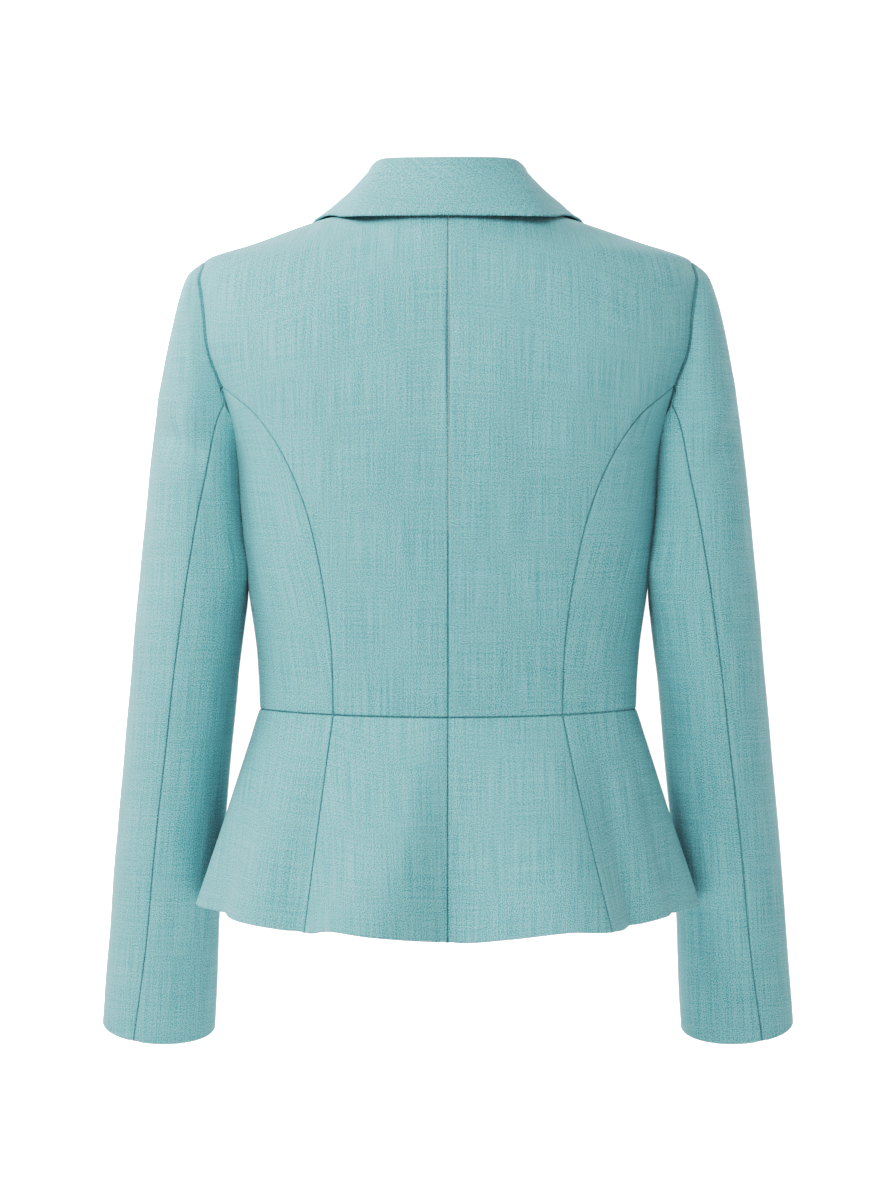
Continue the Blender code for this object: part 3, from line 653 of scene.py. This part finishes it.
def sleeve(ring, turn):
    """Sleeve outer face at a ring number and a turn: 0 outer, then back, inner and front."""
    ring, turn = np.broadcast_arrays(ring, turn)
    value = {name: curve(ring) for name, curve in RINGS.items()}
    cosine = np.cos(turn)
    sine = np.sin(turn)
    reach = np.where(sine > 0, value["back"], value["front"]) * sine
    middle_x = (value["outer_x"] + value["inner_x"]) / 2
    middle_z = (value["outer_z"] + value["inner_z"]) / 2
    x = middle_x + (value["outer_x"] - middle_x) * cosine
    z = middle_z + (value["outer_z"] - middle_z) * cosine - value["tilt"] * reach
    first = SLEEVE[0]
    flat_x = (first.outer_x + first.inner_x) / 2 + (first.outer_x - first.inner_x) / 2 * cosine
    x = x + value["cap"] * (torso(*armhole(turn))[..., 0] - flat_x)
    clear = value["inner_x"] - BODY["half_width"](value["inner_z"]) + SLEEVE_REST
    rest = smooth(ring) * (1 - smooth((ring - REST_END) / REST_FADE))
    x = x - clear * rest * smooth((-cosine - REST_SIDE) / (1 - REST_SIDE))
    pressed = smooth((turn - PRESS_START) / PRESS_BLEND) * (1 - smooth((turn - PRESS_END) / PRESS_BLEND))
    x = x - PRESS * rest * pressed
    points = np.stack([x, value["y"] + reach, z], axis=-1)
    tuck = armhole_inward(turn) * TUCK_UNDER + unit(body_slope(torso(*armhole(turn)))) * TUCK_DEPTH
    return points - tuck * (1 - smooth(ring / TUCK_RINGS))[..., None]


def sleeve_surface(upper):
    """Upper sleeve from the front seam over the shoulder to the back seam, or the under sleeve."""
    def surface(u, v):
        ring = (1 - v) * (len(SLEEVE) - 1)
        back = np.radians(RINGS["seam_turn"](ring))
        if upper:
            return sleeve(ring, lerp(SLEEVE_FRONT_SEAM - 2 * math.pi, back, u))
        return sleeve(ring, lerp(back, SLEEVE_FRONT_SEAM, u))
    return surface


def lapel_surface(lapped):
    """Lapel laid on the front, with a round roll at its inner edge: negative u runs round the roll."""
    def surface(u, v):
        flat_u = np.maximum(u, 0)
        inner_z = lerp(LAPEL_BREAK_Z, GORGE_Z - LAPEL_TOP_GAP, v)
        outer_z = lerp(LAPEL_BREAK_Z, LAPEL_POINT_Z, v)
        outer_x = lerp(EDGE(LAPEL_BREAK_Z) + LAPEL_BREAK_WIDTH, LAPEL_POINT_X, v ** LAPEL_BELLY)
        z = lerp(inner_z, outer_z, flat_u)
        points = torso(turn_at_x(lerp(EDGE(inner_z), outer_x, flat_u), z, front=True), z)
        out = unit(body_slope(points))
        if lapped:
            points = lap_over(points)
        angle = np.pi * np.clip(1 + u / LAPEL_ROLL_U, 0, 1)
        ahead = np.array((-1.0, 0, 0)) * (LAPEL_LIFT / 2 * np.sin(angle))[..., None]
        return points + out * (LAPEL_LIFT / 2 * (1 - np.cos(angle)))[..., None] + ahead
    return surface


def collar_foot(station):
    """Neck edge that the stand rises from, by station number."""
    share = np.clip(station / 2, 0, 1)
    back = torso(QUARTER * share, lerp(NECK_BACK_Z, NECK_SIDE_Z, share * share))
    front = torso(*front_edge(lerp(NECK_SIDE_Z, GORGE_Z, np.clip(station / 2 - 1, 0, 1))))
    points = np.where((station <= 2)[..., None], back, front)
    inward = unit(points * np.array((-1, -1, 0))) * FOOT_IN
    return points + inward + np.array((0, 0, FOOT_UP))


def collar_line(name):
    """A line along the collar, carried one station past the centre back so that it crosses it level."""
    spots = [getattr(row, name) for row in COLLAR]
    spots.insert(0, (-spots[1][0], spots[1][1], spots[1][2]))
    return [Curve(range(-1, len(COLLAR)), [spot[axis] for spot in spots]) for axis in range(3)]


COLLAR_LINES = {name: collar_line(name) for name in Station._fields}


def through(controls, at):
    """A smooth line through control points on axis 1, read at fractional control numbers."""
    steps = np.diff(controls, axis=1)
    gaps = np.sqrt(np.linalg.norm(steps, axis=-1, keepdims=True))
    speeds = steps / gaps
    before = gaps[:, :-1]
    after = gaps[:, 1:]
    inner = (speeds[:, :-1] * after + speeds[:, 1:] * before) / (before + after)
    slopes = np.concatenate([speeds[:, :1], inner, speeds[:, -1:]], axis=1)
    index = np.clip(np.floor(at).astype(int), 0, steps.shape[1] - 1)
    t = (at - index)[None, :, None]
    blend = t * t * (3 - 2 * t)
    line = controls[:, index] * (1 - blend) + controls[:, index + 1] * blend
    line = line + slopes[:, index] * gaps[:, index] * t * (1 - t) ** 2
    return line - slopes[:, index + 1] * gaps[:, index] * t * t * (1 - t)


def collar_surface(u, v):
    """Middle of the collar: v runs from the right gorge round the back to the left, u from foot to edge."""
    place_v = (2 * v[:, 0] - 1) * (len(COLLAR) - 1)
    station = np.abs(place_v)
    place = {name: np.stack([axis(station) for axis in axes], -1) for name, axes in COLLAR_LINES.items()}
    foot = collar_foot(station)
    fold = place["fold"]
    out = unit((place["mid"] - foot) * np.array((1, 1, 0))) * FOLD_ROLL
    down = np.array((0, 0, -FOLD_ROLL))
    inside = fold - out + down
    outside = fold + out + down
    controls = np.stack([
        foot, lerp(foot, inside, 0.5), inside, fold, outside, lerp(outside, place["mid"], 0.5),
        place["mid"], lerp(place["mid"], place["edge"], 0.5), place["edge"],
    ], axis=1)
    points = through(controls, u[0] * (controls.shape[1] - 1))
    fall = u[0] * (controls.shape[1] - 1) > FALL_START
    points[:, fall] = lay_on_body(points[:, fall], FALL_CLEAR)
    points[..., 0] *= np.where(place_v < 0, -1, 1)[:, None]
    return points


def spread(length, step=CELL):
    """Shares along an edge: close together at both ends, then even."""
    near = np.array((0.0,) + EDGE_STEPS) / length
    count = max(2, int(round((length * (1 - 2 * near[-1])) / step)))
    middle = np.linspace(near[-1], 1 - near[-1], count + 1)
    return np.concatenate([near[:-1], middle, 1 - near[-2::-1]])


def lengths(points, axis):
    """Distance run along one axis of a grid of points."""
    steps = np.linalg.norm(np.diff(points, axis=axis), axis=-1)
    start = np.zeros_like(np.take(steps, [0], axis=axis))
    return np.concatenate([start, np.cumsum(steps, axis=axis)], axis=axis)


def grid_normals(points):
    across = np.gradient(points, axis=1)
    along = np.gradient(points, axis=0)
    return unit(np.cross(across, along))


def turn_of(points):
    """The turn of points on or near the body."""
    x, y, z = np.moveaxis(points, -1, 0)
    half = BODY["squareness"](z) / 2
    return np.arctan2(power(x / BODY["half_width"](z), half), power(y / depth_at(y, z), half))


def round_body(points, start, steps=20):
    """Distance round the body at each point's own height, from a starting turn: warp threads hang upright."""
    turn = turn_of(points)
    turn = np.where(turn < -QUARTER, turn + 2 * math.pi, turn)
    run = np.zeros_like(turn)
    last = torso(start + 0 * turn, points[..., 2])
    for step in range(1, steps + 1):
        place = torso(lerp(start, turn, step / steps), points[..., 2])
        run += np.linalg.norm(place - last, axis=-1)
        last = place
    return run * np.sign(turn - start)


def crease_depth(across, height, creases):
    """Soft troughs (positive depth) and ridges (negative), fading at both ends."""
    total = np.zeros_like(across)
    for crease in creases:
        run = np.array((crease.across_2 - crease.across_1, crease.z_2 - crease.z_1))
        size = np.linalg.norm(run)
        from_start = np.stack([across - crease.across_1, height - crease.z_1], axis=-1)
        t = from_start @ run / size ** 2
        away = np.abs(from_start @ np.array((-run[1], run[0]))) / size
        fade = np.sin(np.pi * np.clip(t, 0, 1)) ** CREASE_FADE
        total += crease.depth * fade * np.exp(-(away / crease.width) ** 2)
    return total


def soft_noise(across, along, random, scale):
    """A smooth uneven surface between -1 and 1, from a few waves in different directions."""
    total = np.zeros_like(across)
    for _ in range(NOISE_WAVES):
        angle = random.uniform(0, math.pi)
        wave = 2 * math.pi / (scale * random.uniform(*NOISE_SPREAD))
        phase = random.uniform(0, 2 * math.pi)
        total += np.sin(wave * (across * math.cos(angle) + along * math.sin(angle)) + phase)
    return total / NOISE_WAVES


def build_mesh(name, points, normals, weave, painted_shade, thickness, edges):
    """A closed thin shell on a grid of outer points, with round rims on its free edges."""
    rows, across = points.shape[:2]
    inner = points - normals * thickness
    index = np.arange(rows * across).reshape(rows, across)
    rim = np.concatenate([index[0, :-1], index[:-1, -1], index[-1, :0:-1], index[:0:-1, 0]])
    free = [edges[edge] == "free" for edge in ("bottom", "end", "top", "start")]
    rounded = np.repeat(free, [across - 1, rows - 1] * 2)
    flat_points = points.reshape(-1, 3)
    flat_inner = inner.reshape(-1, 3)
    inside = np.pad(points, ((1, 1), (1, 1), (0, 0)), mode="edge")
    inside = (inside[:-2, 1:-1] + inside[2:, 1:-1] + inside[1:-1, :-2] + inside[1:-1, 2:]) / 4
    outward = unit((points - inside).reshape(-1, 3)[rim])
    middle = (flat_points[rim] + flat_inner[rim]) / 2 + outward * (rounded * thickness / 2)[:, None]
    count = rows * across
    quads = np.stack([index[:-1, :-1], index[:-1, 1:], index[1:, 1:], index[1:, :-1]], -1).reshape(-1, 4)
    middles = 2 * count + np.arange(len(rim))
    following = np.roll(rim, -1)
    next_middles = np.roll(middles, -1)
    faces = np.concatenate([
        quads,
        quads[:, ::-1] + count,
        np.stack([following, rim, middles, next_middles], -1),
        np.stack([next_middles, middles, rim + count, following + count], -1),
    ])
    vertices = np.concatenate([flat_points, flat_inner, middle])
    threads = weave.reshape(-1, 2)
    coords = np.concatenate([threads, threads, threads[rim]])
    dark = painted_shade.ravel()
    centre = quads[len(quads) // 2]
    corners = vertices[centre]
    facing = np.cross(corners[1] - corners[0], corners[2] - corners[0])
    if facing @ normals.reshape(-1, 3)[centre[0]] < 0:
        faces = faces[:, ::-1]
    mesh = bpy.data.meshes.new(name)
    mesh.from_pydata(vertices.tolist(), [], faces.tolist())
    layer = mesh.uv_layers.new(name="Weave")
    layer.uv.foreach_set("vector", coords[faces.ravel()].astype(np.float32).ravel())
    # Painted seam shade, kept on each point for the wool's colour
    seam = mesh.attributes.new("Seam", "FLOAT", "POINT")
    seam.data.foreach_set("value", np.concatenate([dark, dark, dark[rim]]))
    mesh.shade_smooth()
    return mesh


def flat_size(threads, across, along):
    """Width across the warp and length along it of the piece laid flat."""
    if threads is None:
        return float(across.max()), float(along.max())
    steps = np.diff(along, axis=0) ** 2 - np.diff(threads, axis=0) ** 2
    return float(np.ptp(threads)), float(np.sqrt(np.maximum(steps, 0)).sum(axis=0).max())


def draw_in(points, edges):
    """Draw each seamed edge of a grid in by its half of the seam gap."""
    moved = points.copy()
    for axis, first, last in ((1, "start", "end"), (0, "bottom", "top")):
        lines = points.swapaxes(0, axis)
        for edge, here, beside in ((first, 0, 1), (last, -1, -2)):
            if edges[edge] == "seam":
                moved.swapaxes(0, axis)[here] += unit(lines[beside] - lines[here]) * SEAM_GAP
    return moved


def sew_with_painted_shade(edges, distance, across, along, random):
    """How far the seams draw the cloth in, and the painted shade beside them and where the sleeve comes out
    from under the armhole edge.
    """
    shift = np.zeros_like(across)
    painted_shade = np.zeros_like(across)
    for edge, kind in edges.items():
        away = distance[edge]
        if kind != "free":
            hidden = TUCK_HIDDEN if kind == "tucked" else 0.0
            reach = TUCK_PAINTED_SHADE_REACH if kind == "tucked" else SEAM_PAINTED_SHADE_REACH
            painted_shade = np.maximum(painted_shade, np.exp(-(np.maximum(away - hidden, 0) / reach) ** 2))
        if kind == "seam":
            shift = shift - SEAM_DIP * np.exp(-away / SEAM_ROLL) - SEAM_SINK * np.exp(-away / SEAM_SINK_REACH)
            bumps = soft_noise(across, along, random, PUCKER_SCALE)
            shift = shift + PUCKER * bumps * np.exp(-away / PUCKER_REACH) * smooth(away / PUCKER_START)
    return shift, painted_shade


def add_object(name, data):
    made = bpy.data.objects.new(name, data)
    bpy.context.scene.collection.objects.link(made)
    return made


def add_cloth(name, surface, shares, edges, side=1, thickness=WALL, raise_by=0.0, warp=None):
    """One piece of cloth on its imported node: seams drawn in, creases pressed in, then a closed shell."""
    u, v = shares
    is_sleeve = name.startswith("sleeve")
    points = draw_in(surface(u[None, :], v[:, None]), edges)
    normals = grid_normals(points)
    centre = (points.shape[0] // 2, points.shape[1] // 2)
    outward = points[centre] * np.array((1, 1, 0))
    if is_sleeve:
        outward = outward - np.array((ARM_X, 0, 0))
    if normals[centre] @ outward < 0:
        normals = -normals
    points = points + normals * raise_by
    across = lengths(points, 1)
    along = lengths(points, 0)
    distance = {
        "start": across, "end": across[:, -1:] - across,
        "bottom": along, "top": along[-1:] - along,
    }
    random = np.random.default_rng(sum(map(ord, name)))
    nearest = np.minimum.reduce(list(distance.values()))
    shift = UNEVEN * soft_noise(across, along, random, UNEVEN_SCALE) * smooth(nearest / UNEVEN_EDGE)
    threads = warp(points, u, v) if warp else across
    creases = crease_depth(threads, points[..., 2], CREASES.get(name, ()))
    shift = shift - creases * smooth(nearest / CREASE_EDGE)
    seams, painted_shade = sew_with_painted_shade(edges, distance, across, along, random)
    points = points + normals * (shift + seams)[..., None]
    lay = points[..., 2] * SLEEVE_SLANT if is_sleeve else along
    weave = np.stack([threads * side, lay], -1) + random.uniform(0, WEAVE_SHIFT, 2)
    if name == "collar":
        weave = weave[..., ::-1]
    mirror = np.array((side, 1, 1))
    mesh = build_mesh(name, points * mirror, normals * mirror, weave, painted_shade, thickness, edges)
    mesh.materials.append(WOOL)
    piece = add_object("cloth_" + name, mesh)
    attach(piece, "root")
    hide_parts(name)
    on_body = warp and not is_sleeve
    width, length = flat_size(threads if on_body else None, across, along)


def warp_from(start):
    return lambda points, u, v: round_body(points, start)


def sleeve_warp(upper):
    """Distance round the arm at one girth, so that warp threads run along it up into the sleeve head."""
    def warp(points, u, v):
        ring = np.maximum((1 - v) * (len(SLEEVE) - 1), HEAD_END)[:, None]
        outer = RINGS["outer_x"](ring)
        inner = RINGS["inner_x"](ring)
        sideways = (2 * points[..., 0] - outer - inner) / (outer - inner)
        turn = np.arctan2((points[..., 1] - RINGS["y"](ring)) / RINGS["back"](ring), sideways)
        return np.where((turn < 0) & (not upper), turn + 2 * math.pi, turn) * SLEEVE_GIRTH
    return warp


def grid(part):
    return tuple(spread(length) for length in SIZES[part])


def add_side(side_name, side):
    """The pieces that come in pairs, on one side; the right front laps over the left."""
    lapped = side_name == "right"
    front = front_surface()
    body = {
        "back": (back_surface(), SEAMED, 0.0),
        "side_back": (side_surface(False), SEAMED, QUARTER),
        "side_front": (side_surface(True), SEAMED, QUARTER),
        "front": ((lambda u, v: lap_over(front(u, v))) if lapped else front, FRONT_PIECE, math.pi),
    }
    for part, (surface, edges, start) in body.items():
        add_cloth(f"{part}_{side_name}", surface, grid(part), edges, side, warp=warp_from(start))
    for part, upper in (("sleeve_upper", True), ("sleeve_under", False)):
        surface = sleeve_surface(upper)
        add_cloth(f"{part}_{side_name}", surface, grid(part), SLEEVE_PIECE, side, warp=sleeve_warp(upper))
    peplums = {
        "back": (0.0, BACK_PEPLUM_TURN), "side_back": (BACK_PEPLUM_TURN, QUARTER),
        "side_front": (QUARTER, FRONT_PEPLUM_TURN), "front": (FRONT_PEPLUM_TURN, math.pi),
    }
    for part, (start, end) in peplums.items():
        is_front = part == "front"
        surface = peplum_surface(start, end, side, is_front, is_front and lapped)
        edges = PEPLUM_FRONT if is_front else PEPLUM_PIECE
        add_cloth(f"peplum_{part}_{side_name}", surface, grid("peplum"), edges, side)
    roll = np.linspace(-LAPEL_ROLL_U, 0, LAPEL_ROLL_SIDES)[:-1]
    u, v = grid("lapel")
    shares = (np.concatenate([roll, u]), v)
    add_cloth(f"lapel_{side_name}", lapel_surface(lapped), shares, FREE, side, LAPEL_WALL)


def add_collar():
    shares = (np.linspace(0, 1, COLLAR_STEPS + 1), spread(COLLAR_LENGTH))
    add_cloth("collar", collar_surface, shares, COLLAR_PIECE, 1, COLLAR_WALL, raise_by=COLLAR_WALL / 2)


def fill(made, values):
    for name, value in values.items():
        made.inputs[name].default_value = value


def node(tree, kind, values=None, **settings):
    """A new node with its settings, and with constant values on its inputs."""
    made = tree.nodes.new(kind)
    for name, value in settings.items():
        setattr(made, name, value)
    fill(made, values or {})
    return made


def new_material(name):
    """A new material, its node tree and its shader."""
    material = bpy.data.materials.new(name)
    material.use_nodes = True
    return material, material.node_tree, material.node_tree.nodes["Principled BSDF"]


def make_wool():
    """Fine worsted: a mottled mix of pale and deep teal fibres with slubs along the warp and the weft."""
    material, tree, shader = new_material("wool_cloth")
    link = tree.links.new
    place = node(tree, "ShaderNodeUVMap", uv_map="Weave")

    def math_node(operation, first, second):
        made = node(tree, "ShaderNodeMath", operation=operation)
        for socket, value in zip(made.inputs, (first, second)):
            if isinstance(value, (int, float)):
                socket.default_value = value
            else:
                link(value, socket)
        return made.outputs["Value"]

    def fibres(kind):
        stretch = node(tree, "ShaderNodeMapping", {"Scale": (kind.across, kind.along, 1)})
        noise = node(tree, "ShaderNodeTexNoise", {"Scale": 1.0, "Detail": kind.detail}, noise_dimensions="2D")
        link(place.outputs["UV"], stretch.inputs["Vector"])
        link(stretch.outputs["Vector"], noise.inputs["Vector"])
        return math_node("MULTIPLY", noise.outputs["Fac"], kind.share)

    mix = math_node("ADD", math_node("ADD", fibres(WARP), fibres(WEFT)), fibres(GRAIN))
    ramp = node(tree, "ShaderNodeValToRGB")
    stops = ramp.color_ramp.elements
    for stop, tone in zip(stops, (WOOL_DEEP, WOOL_PALE)):
        stop.position = tone.place
        stop.color = tone.color
    stops.new(WOOL_MIDDLE.place).color = WOOL_MIDDLE.color
    link(mix, ramp.inputs["Fac"])
    # Painted shade: the wool's colour is multiplied towards a deep tone beside seams and below the armhole
    # edge
    seam = node(tree, "ShaderNodeAttribute", attribute_name="Seam")
    painted_seam_shade = node(tree, "ShaderNodeMix", {"B": SEAM_SHADOW_TONE}, data_type="RGBA", blend_type="MULTIPLY")
    link(math_node("MULTIPLY", seam.outputs["Fac"], SEAM_PAINTED_SHADE), painted_seam_shade.inputs["Factor"])
    link(ramp.outputs["Color"], painted_seam_shade.inputs["A"])
    link(painted_seam_shade.outputs["Result"], shader.inputs["Base Color"])
    bump = node(tree, "ShaderNodeBump", WOOL_BUMP)
    link(mix, bump.inputs["Height"])
    link(bump.outputs["Normal"], shader.inputs["Normal"])
    fill(shader, WOOL_SURFACE)
    return material


def make_clouded(kind):
    """Two shades of one colour, mixed by noise."""
    material, tree, shader = new_material(kind.name)
    noise = node(tree, "ShaderNodeTexNoise", {"Scale": kind.scale})
    ramp = node(tree, "ShaderNodeValToRGB")
    ramp.color_ramp.elements[0].color = kind.deep
    ramp.color_ramp.elements[1].color = kind.pale
    place = node(tree, "ShaderNodeTexCoord")
    tree.links.new(place.outputs["Object"], noise.inputs["Vector"])
    tree.links.new(noise.outputs["Fac"], ramp.inputs["Fac"])
    tree.links.new(ramp.outputs["Color"], shader.inputs["Base Color"])
    fill(shader, {"Roughness": kind.roughness})
    return material


def ring_faces(count, sides):
    """Faces of a closed tube over rings of points."""
    faces = []
    for low in range(0, (count - 1) * sides, sides):
        for side in range(sides):
            after = (side + 1) % sides
            faces.append((low + side, low + after, low + sides + after, low + sides + side))
    faces.append(tuple(range(sides - 1, -1, -1)))
    faces.append(tuple(range((count - 1) * sides, count * sides)))
    return faces


def tube(line, radius, sides=8):
    """Points and faces of a round thread along a line."""
    along = unit(np.gradient(line, axis=0))
    across = unit(np.cross(along, np.array(THREAD_ASKEW)))
    third = np.cross(along, across)
    angle = np.arange(sides) * 2 * math.pi / sides
    rings = across[:, None] * np.cos(angle)[:, None] + third[:, None] * np.sin(angle)[:, None]
    return (line[:, None] + rings * radius).reshape(-1, 3), ring_faces(len(line), sides)


def add_threads(name, lines):
    """Several threads as one piece."""
    vertices = []
    faces = []
    for line in lines:
        points, made = tube(line, THREAD_RADIUS)
        faces += [tuple(index + len(vertices) for index in face) for face in made]
        vertices += points.tolist()
    mesh = bpy.data.meshes.new(name)
    mesh.from_pydata(vertices, [], faces)
    mesh.shade_smooth()
    mesh.materials.append(THREAD)
    piece = add_object(name, mesh)
    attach(piece, "root")


def turned_mesh(name, profile, sides):
    """A closed turned body with flat ends, from a profile that runs down its outside."""
    angle = np.arange(sides) * 2 * math.pi / sides
    vertices = [(r * math.cos(a), r * math.sin(a), z) for r, z in profile for a in angle]
    mesh = bpy.data.meshes.new(name)
    mesh.from_pydata(vertices, [], [face[::-1] for face in ring_faces(len(profile), sides)])
    return mesh


def button_frame():
    """Where the button sits and its own right, up and outward ways."""
    seat = torso(np.array(math.pi), np.array(BUTTON_Z))
    out = unit(body_slope(seat))
    right = np.array((1.0, 0.0, 0.0))
    up = unit(np.cross(out, right))
    return seat + out * (LAP_LIFT + BUTTON_SHANK), right, up, out


def add_button():
    """A dished button with a round rim and four holes, drilled through."""
    profile = [(BUTTON_RADIUS * out, BUTTON_HEIGHT * up) for out, up in BUTTON_PROFILE]
    button = add_object("dressed_button", turned_mesh("dressed_button", profile, BUTTON_SIDES))
    bore = [(BUTTON_HOLE_RADIUS, BUTTON_HEIGHT), (BUTTON_HOLE_RADIUS, -BUTTON_HEIGHT)]
    drills = []
    for across in (-BUTTON_HOLE_OUT, BUTTON_HOLE_OUT):
        for along in (-BUTTON_HOLE_OUT, BUTTON_HOLE_OUT):
            drill = add_object("drill", turned_mesh("drill", bore, BUTTON_SIDES // 3))
            drill.location = (across, along, 0.0)
            button.modifiers.new("hole", "BOOLEAN").object = drill
            drills.append(drill)
    view = bpy.context.evaluated_depsgraph_get()
    mesh = bpy.data.meshes.new_from_object(button.evaluated_get(view))
    button.modifiers.clear()
    for drill in drills:
        bpy.data.objects.remove(drill)
    place, right, up, out = button_frame()
    mesh.transform(Matrix((right, up, out)).transposed().to_4x4())
    mesh.transform(Matrix.Translation(place))
    mesh.shade_smooth()
    mesh.set_sharp_from_angle(angle=BUTTON_SHARP)
    mesh.materials.clear()
    mesh.materials.append(PLASTIC)
    button.data = mesh
    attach(button, "root")
    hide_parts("button")


def add_button_thread():
    """Two bars of thread across the holes, and the wound shank below."""
    place, right, up, out = button_frame()
    share = np.linspace(-1, 1, THREAD_STEPS + 1)[:, None]
    arch = THREAD_ARCH * (1 - share ** THREAD_FLATNESS) - BUTTON_DISH * np.abs(share) ** THREAD_PLUNGE
    height = BUTTON_HEIGHT - BUTTON_DISH + arch
    lines = []
    for bar in (-BUTTON_HOLE_OUT, BUTTON_HOLE_OUT):
        for strand in THREAD_STRANDS:
            lines.append(place + right * share * BUTTON_HOLE_OUT + up * (bar + strand) + out * height)
    add_threads("button_thread", lines)
    angle = np.linspace(0, 2 * math.pi, SHANK_STEPS + 1)[:, None]
    ring = place + (right * np.cos(angle) + up * np.sin(angle)) * SHANK_RADIUS
    add_threads("button_shank", [ring - out * BUTTON_SHANK * level for level in SHANK_LEVELS])


def add_buttonhole():
    """A stitched slit in the lapping front, level with the button."""
    def on_front(across, rise):
        z = np.array(BUTTON_Z + rise)
        points = lap_over(torso(turn_at_x(np.array(across), z, front=True), z))
        return (points + unit(body_slope(points)) * STITCH_LIFT) * np.array((-1, 1, 1))

    straight = HOLE_FAR_X - HOLE_NEAR_X
    bend = math.pi * (HOLE_HALF_GAP + STITCH_LENGTH / 2)
    reach = (HOLE_HALF_GAP, HOLE_HALF_GAP + STITCH_LENGTH / 2, HOLE_HALF_GAP + STITCH_LENGTH)
    lines = []
    for run in np.arange(0, 2 * (straight + bend), STITCH_STEP):
        part, left_over = divmod(run, straight + bend)
        way = 1 if part == 0 else -1
        start = HOLE_NEAR_X if part == 0 else HOLE_FAR_X
        angle = math.pi * max(0.0, left_over - straight) / bend
        centre = start + way * min(left_over, straight)
        side = np.array((math.sin(angle), math.cos(angle))) * way
        lines.append(np.stack([on_front(centre + side[0] * r, side[1] * r) for r in reach]))
    add_threads("buttonhole", lines)


def add_stage():
    """Pale seamless paper: a level floor that bends up far behind the jacket, where it is lit through."""
    profile = [(FLOOR_NEAR_Y, FLOOR_Z), (BEND_Y, FLOOR_Z)]
    for step in range(1, BEND_STEPS + 1):
        angle = QUARTER * step / BEND_STEPS
        rise_z = BEND_RADIUS * (1 - math.cos(angle))
        profile.append((BEND_Y - BEND_RADIUS * math.sin(angle), FLOOR_Z + rise_z))
    profile.append((BEND_Y - BEND_RADIUS, BACKDROP_TOP_Z))
    vertices = [(x, y, z) for y, z in profile for x in (-FLOOR_HALF_WIDTH, FLOOR_HALF_WIDTH)]
    faces = [(2 * i, 2 * i + 1, 2 * i + 3, 2 * i + 2) for i in range(len(profile) - 1)]
    mesh = bpy.data.meshes.new("floor")
    mesh.from_pydata(vertices, [], faces)
    mesh.shade_smooth()
    paper, tree, shader = new_material("paper")
    fill(shader, PAPER)
    place = node(tree, "ShaderNodeTexCoord")
    split = node(tree, "ShaderNodeSeparateXYZ")
    glow = node(tree, "ShaderNodeMapRange", GLOW_BY_Y)
    tree.links.new(place.outputs["Object"], split.inputs["Vector"])
    tree.links.new(split.outputs["Y"], glow.inputs["Value"])
    tree.links.new(glow.outputs["Result"], shader.inputs["Emission Strength"])
    mesh.materials.append(paper)
    add_object("floor", mesh)


def add_light(light):
    data = bpy.data.lights.new(light.name, "AREA")
    data.size = light.size
    data.energy = light.watts
    lamp = add_object(light.name, data)
    lamp.location = light.place
    lamp.rotation_euler = (Vector(light.target) - Vector(light.place)).to_track_quat("-Z", "Y").to_euler()


def add_world():
    world = bpy.data.worlds.new("studio")
    world.use_nodes = True
    fill(world.node_tree.nodes["Background"], {"Color": WHITE, "Strength": WORLD_STRENGTH})
    bpy.context.scene.world = world


def add_camera():
    data = bpy.data.cameras.new("camera")
    data.lens = SENSOR * CAMERA_Y / VIEW_HEIGHT
    camera = add_object("camera", data)
    camera.location = (0.0, CAMERA_Y, CAMERA_Z)
    camera.rotation_euler = (QUARTER, 0.0, math.pi)
    bpy.context.scene.camera = camera


def add_film():
    """The camera's soft response: deep shades held down, bright ones rolled off, white kept white."""
    settings = bpy.context.scene.view_settings
    settings.view_transform = "Standard"
    settings.use_curve_mapping = True
    curve = settings.curve_mapping.curves[3]
    for light, shown in FILM:
        curve.points.new(light, shown)
    settings.curve_mapping.update()


WOOL = make_wool()
PLASTIC = make_clouded(BUTTON_PLASTIC)
THREAD = make_clouded(SEWING_THREAD)
add_side("left", 1)
add_side("right", -1)
add_collar()
add_button()
add_button_thread()
add_buttonhole()
add_stage()
for studio_light in LIGHTS:
    add_light(studio_light)
add_camera()
add_world()
add_film()
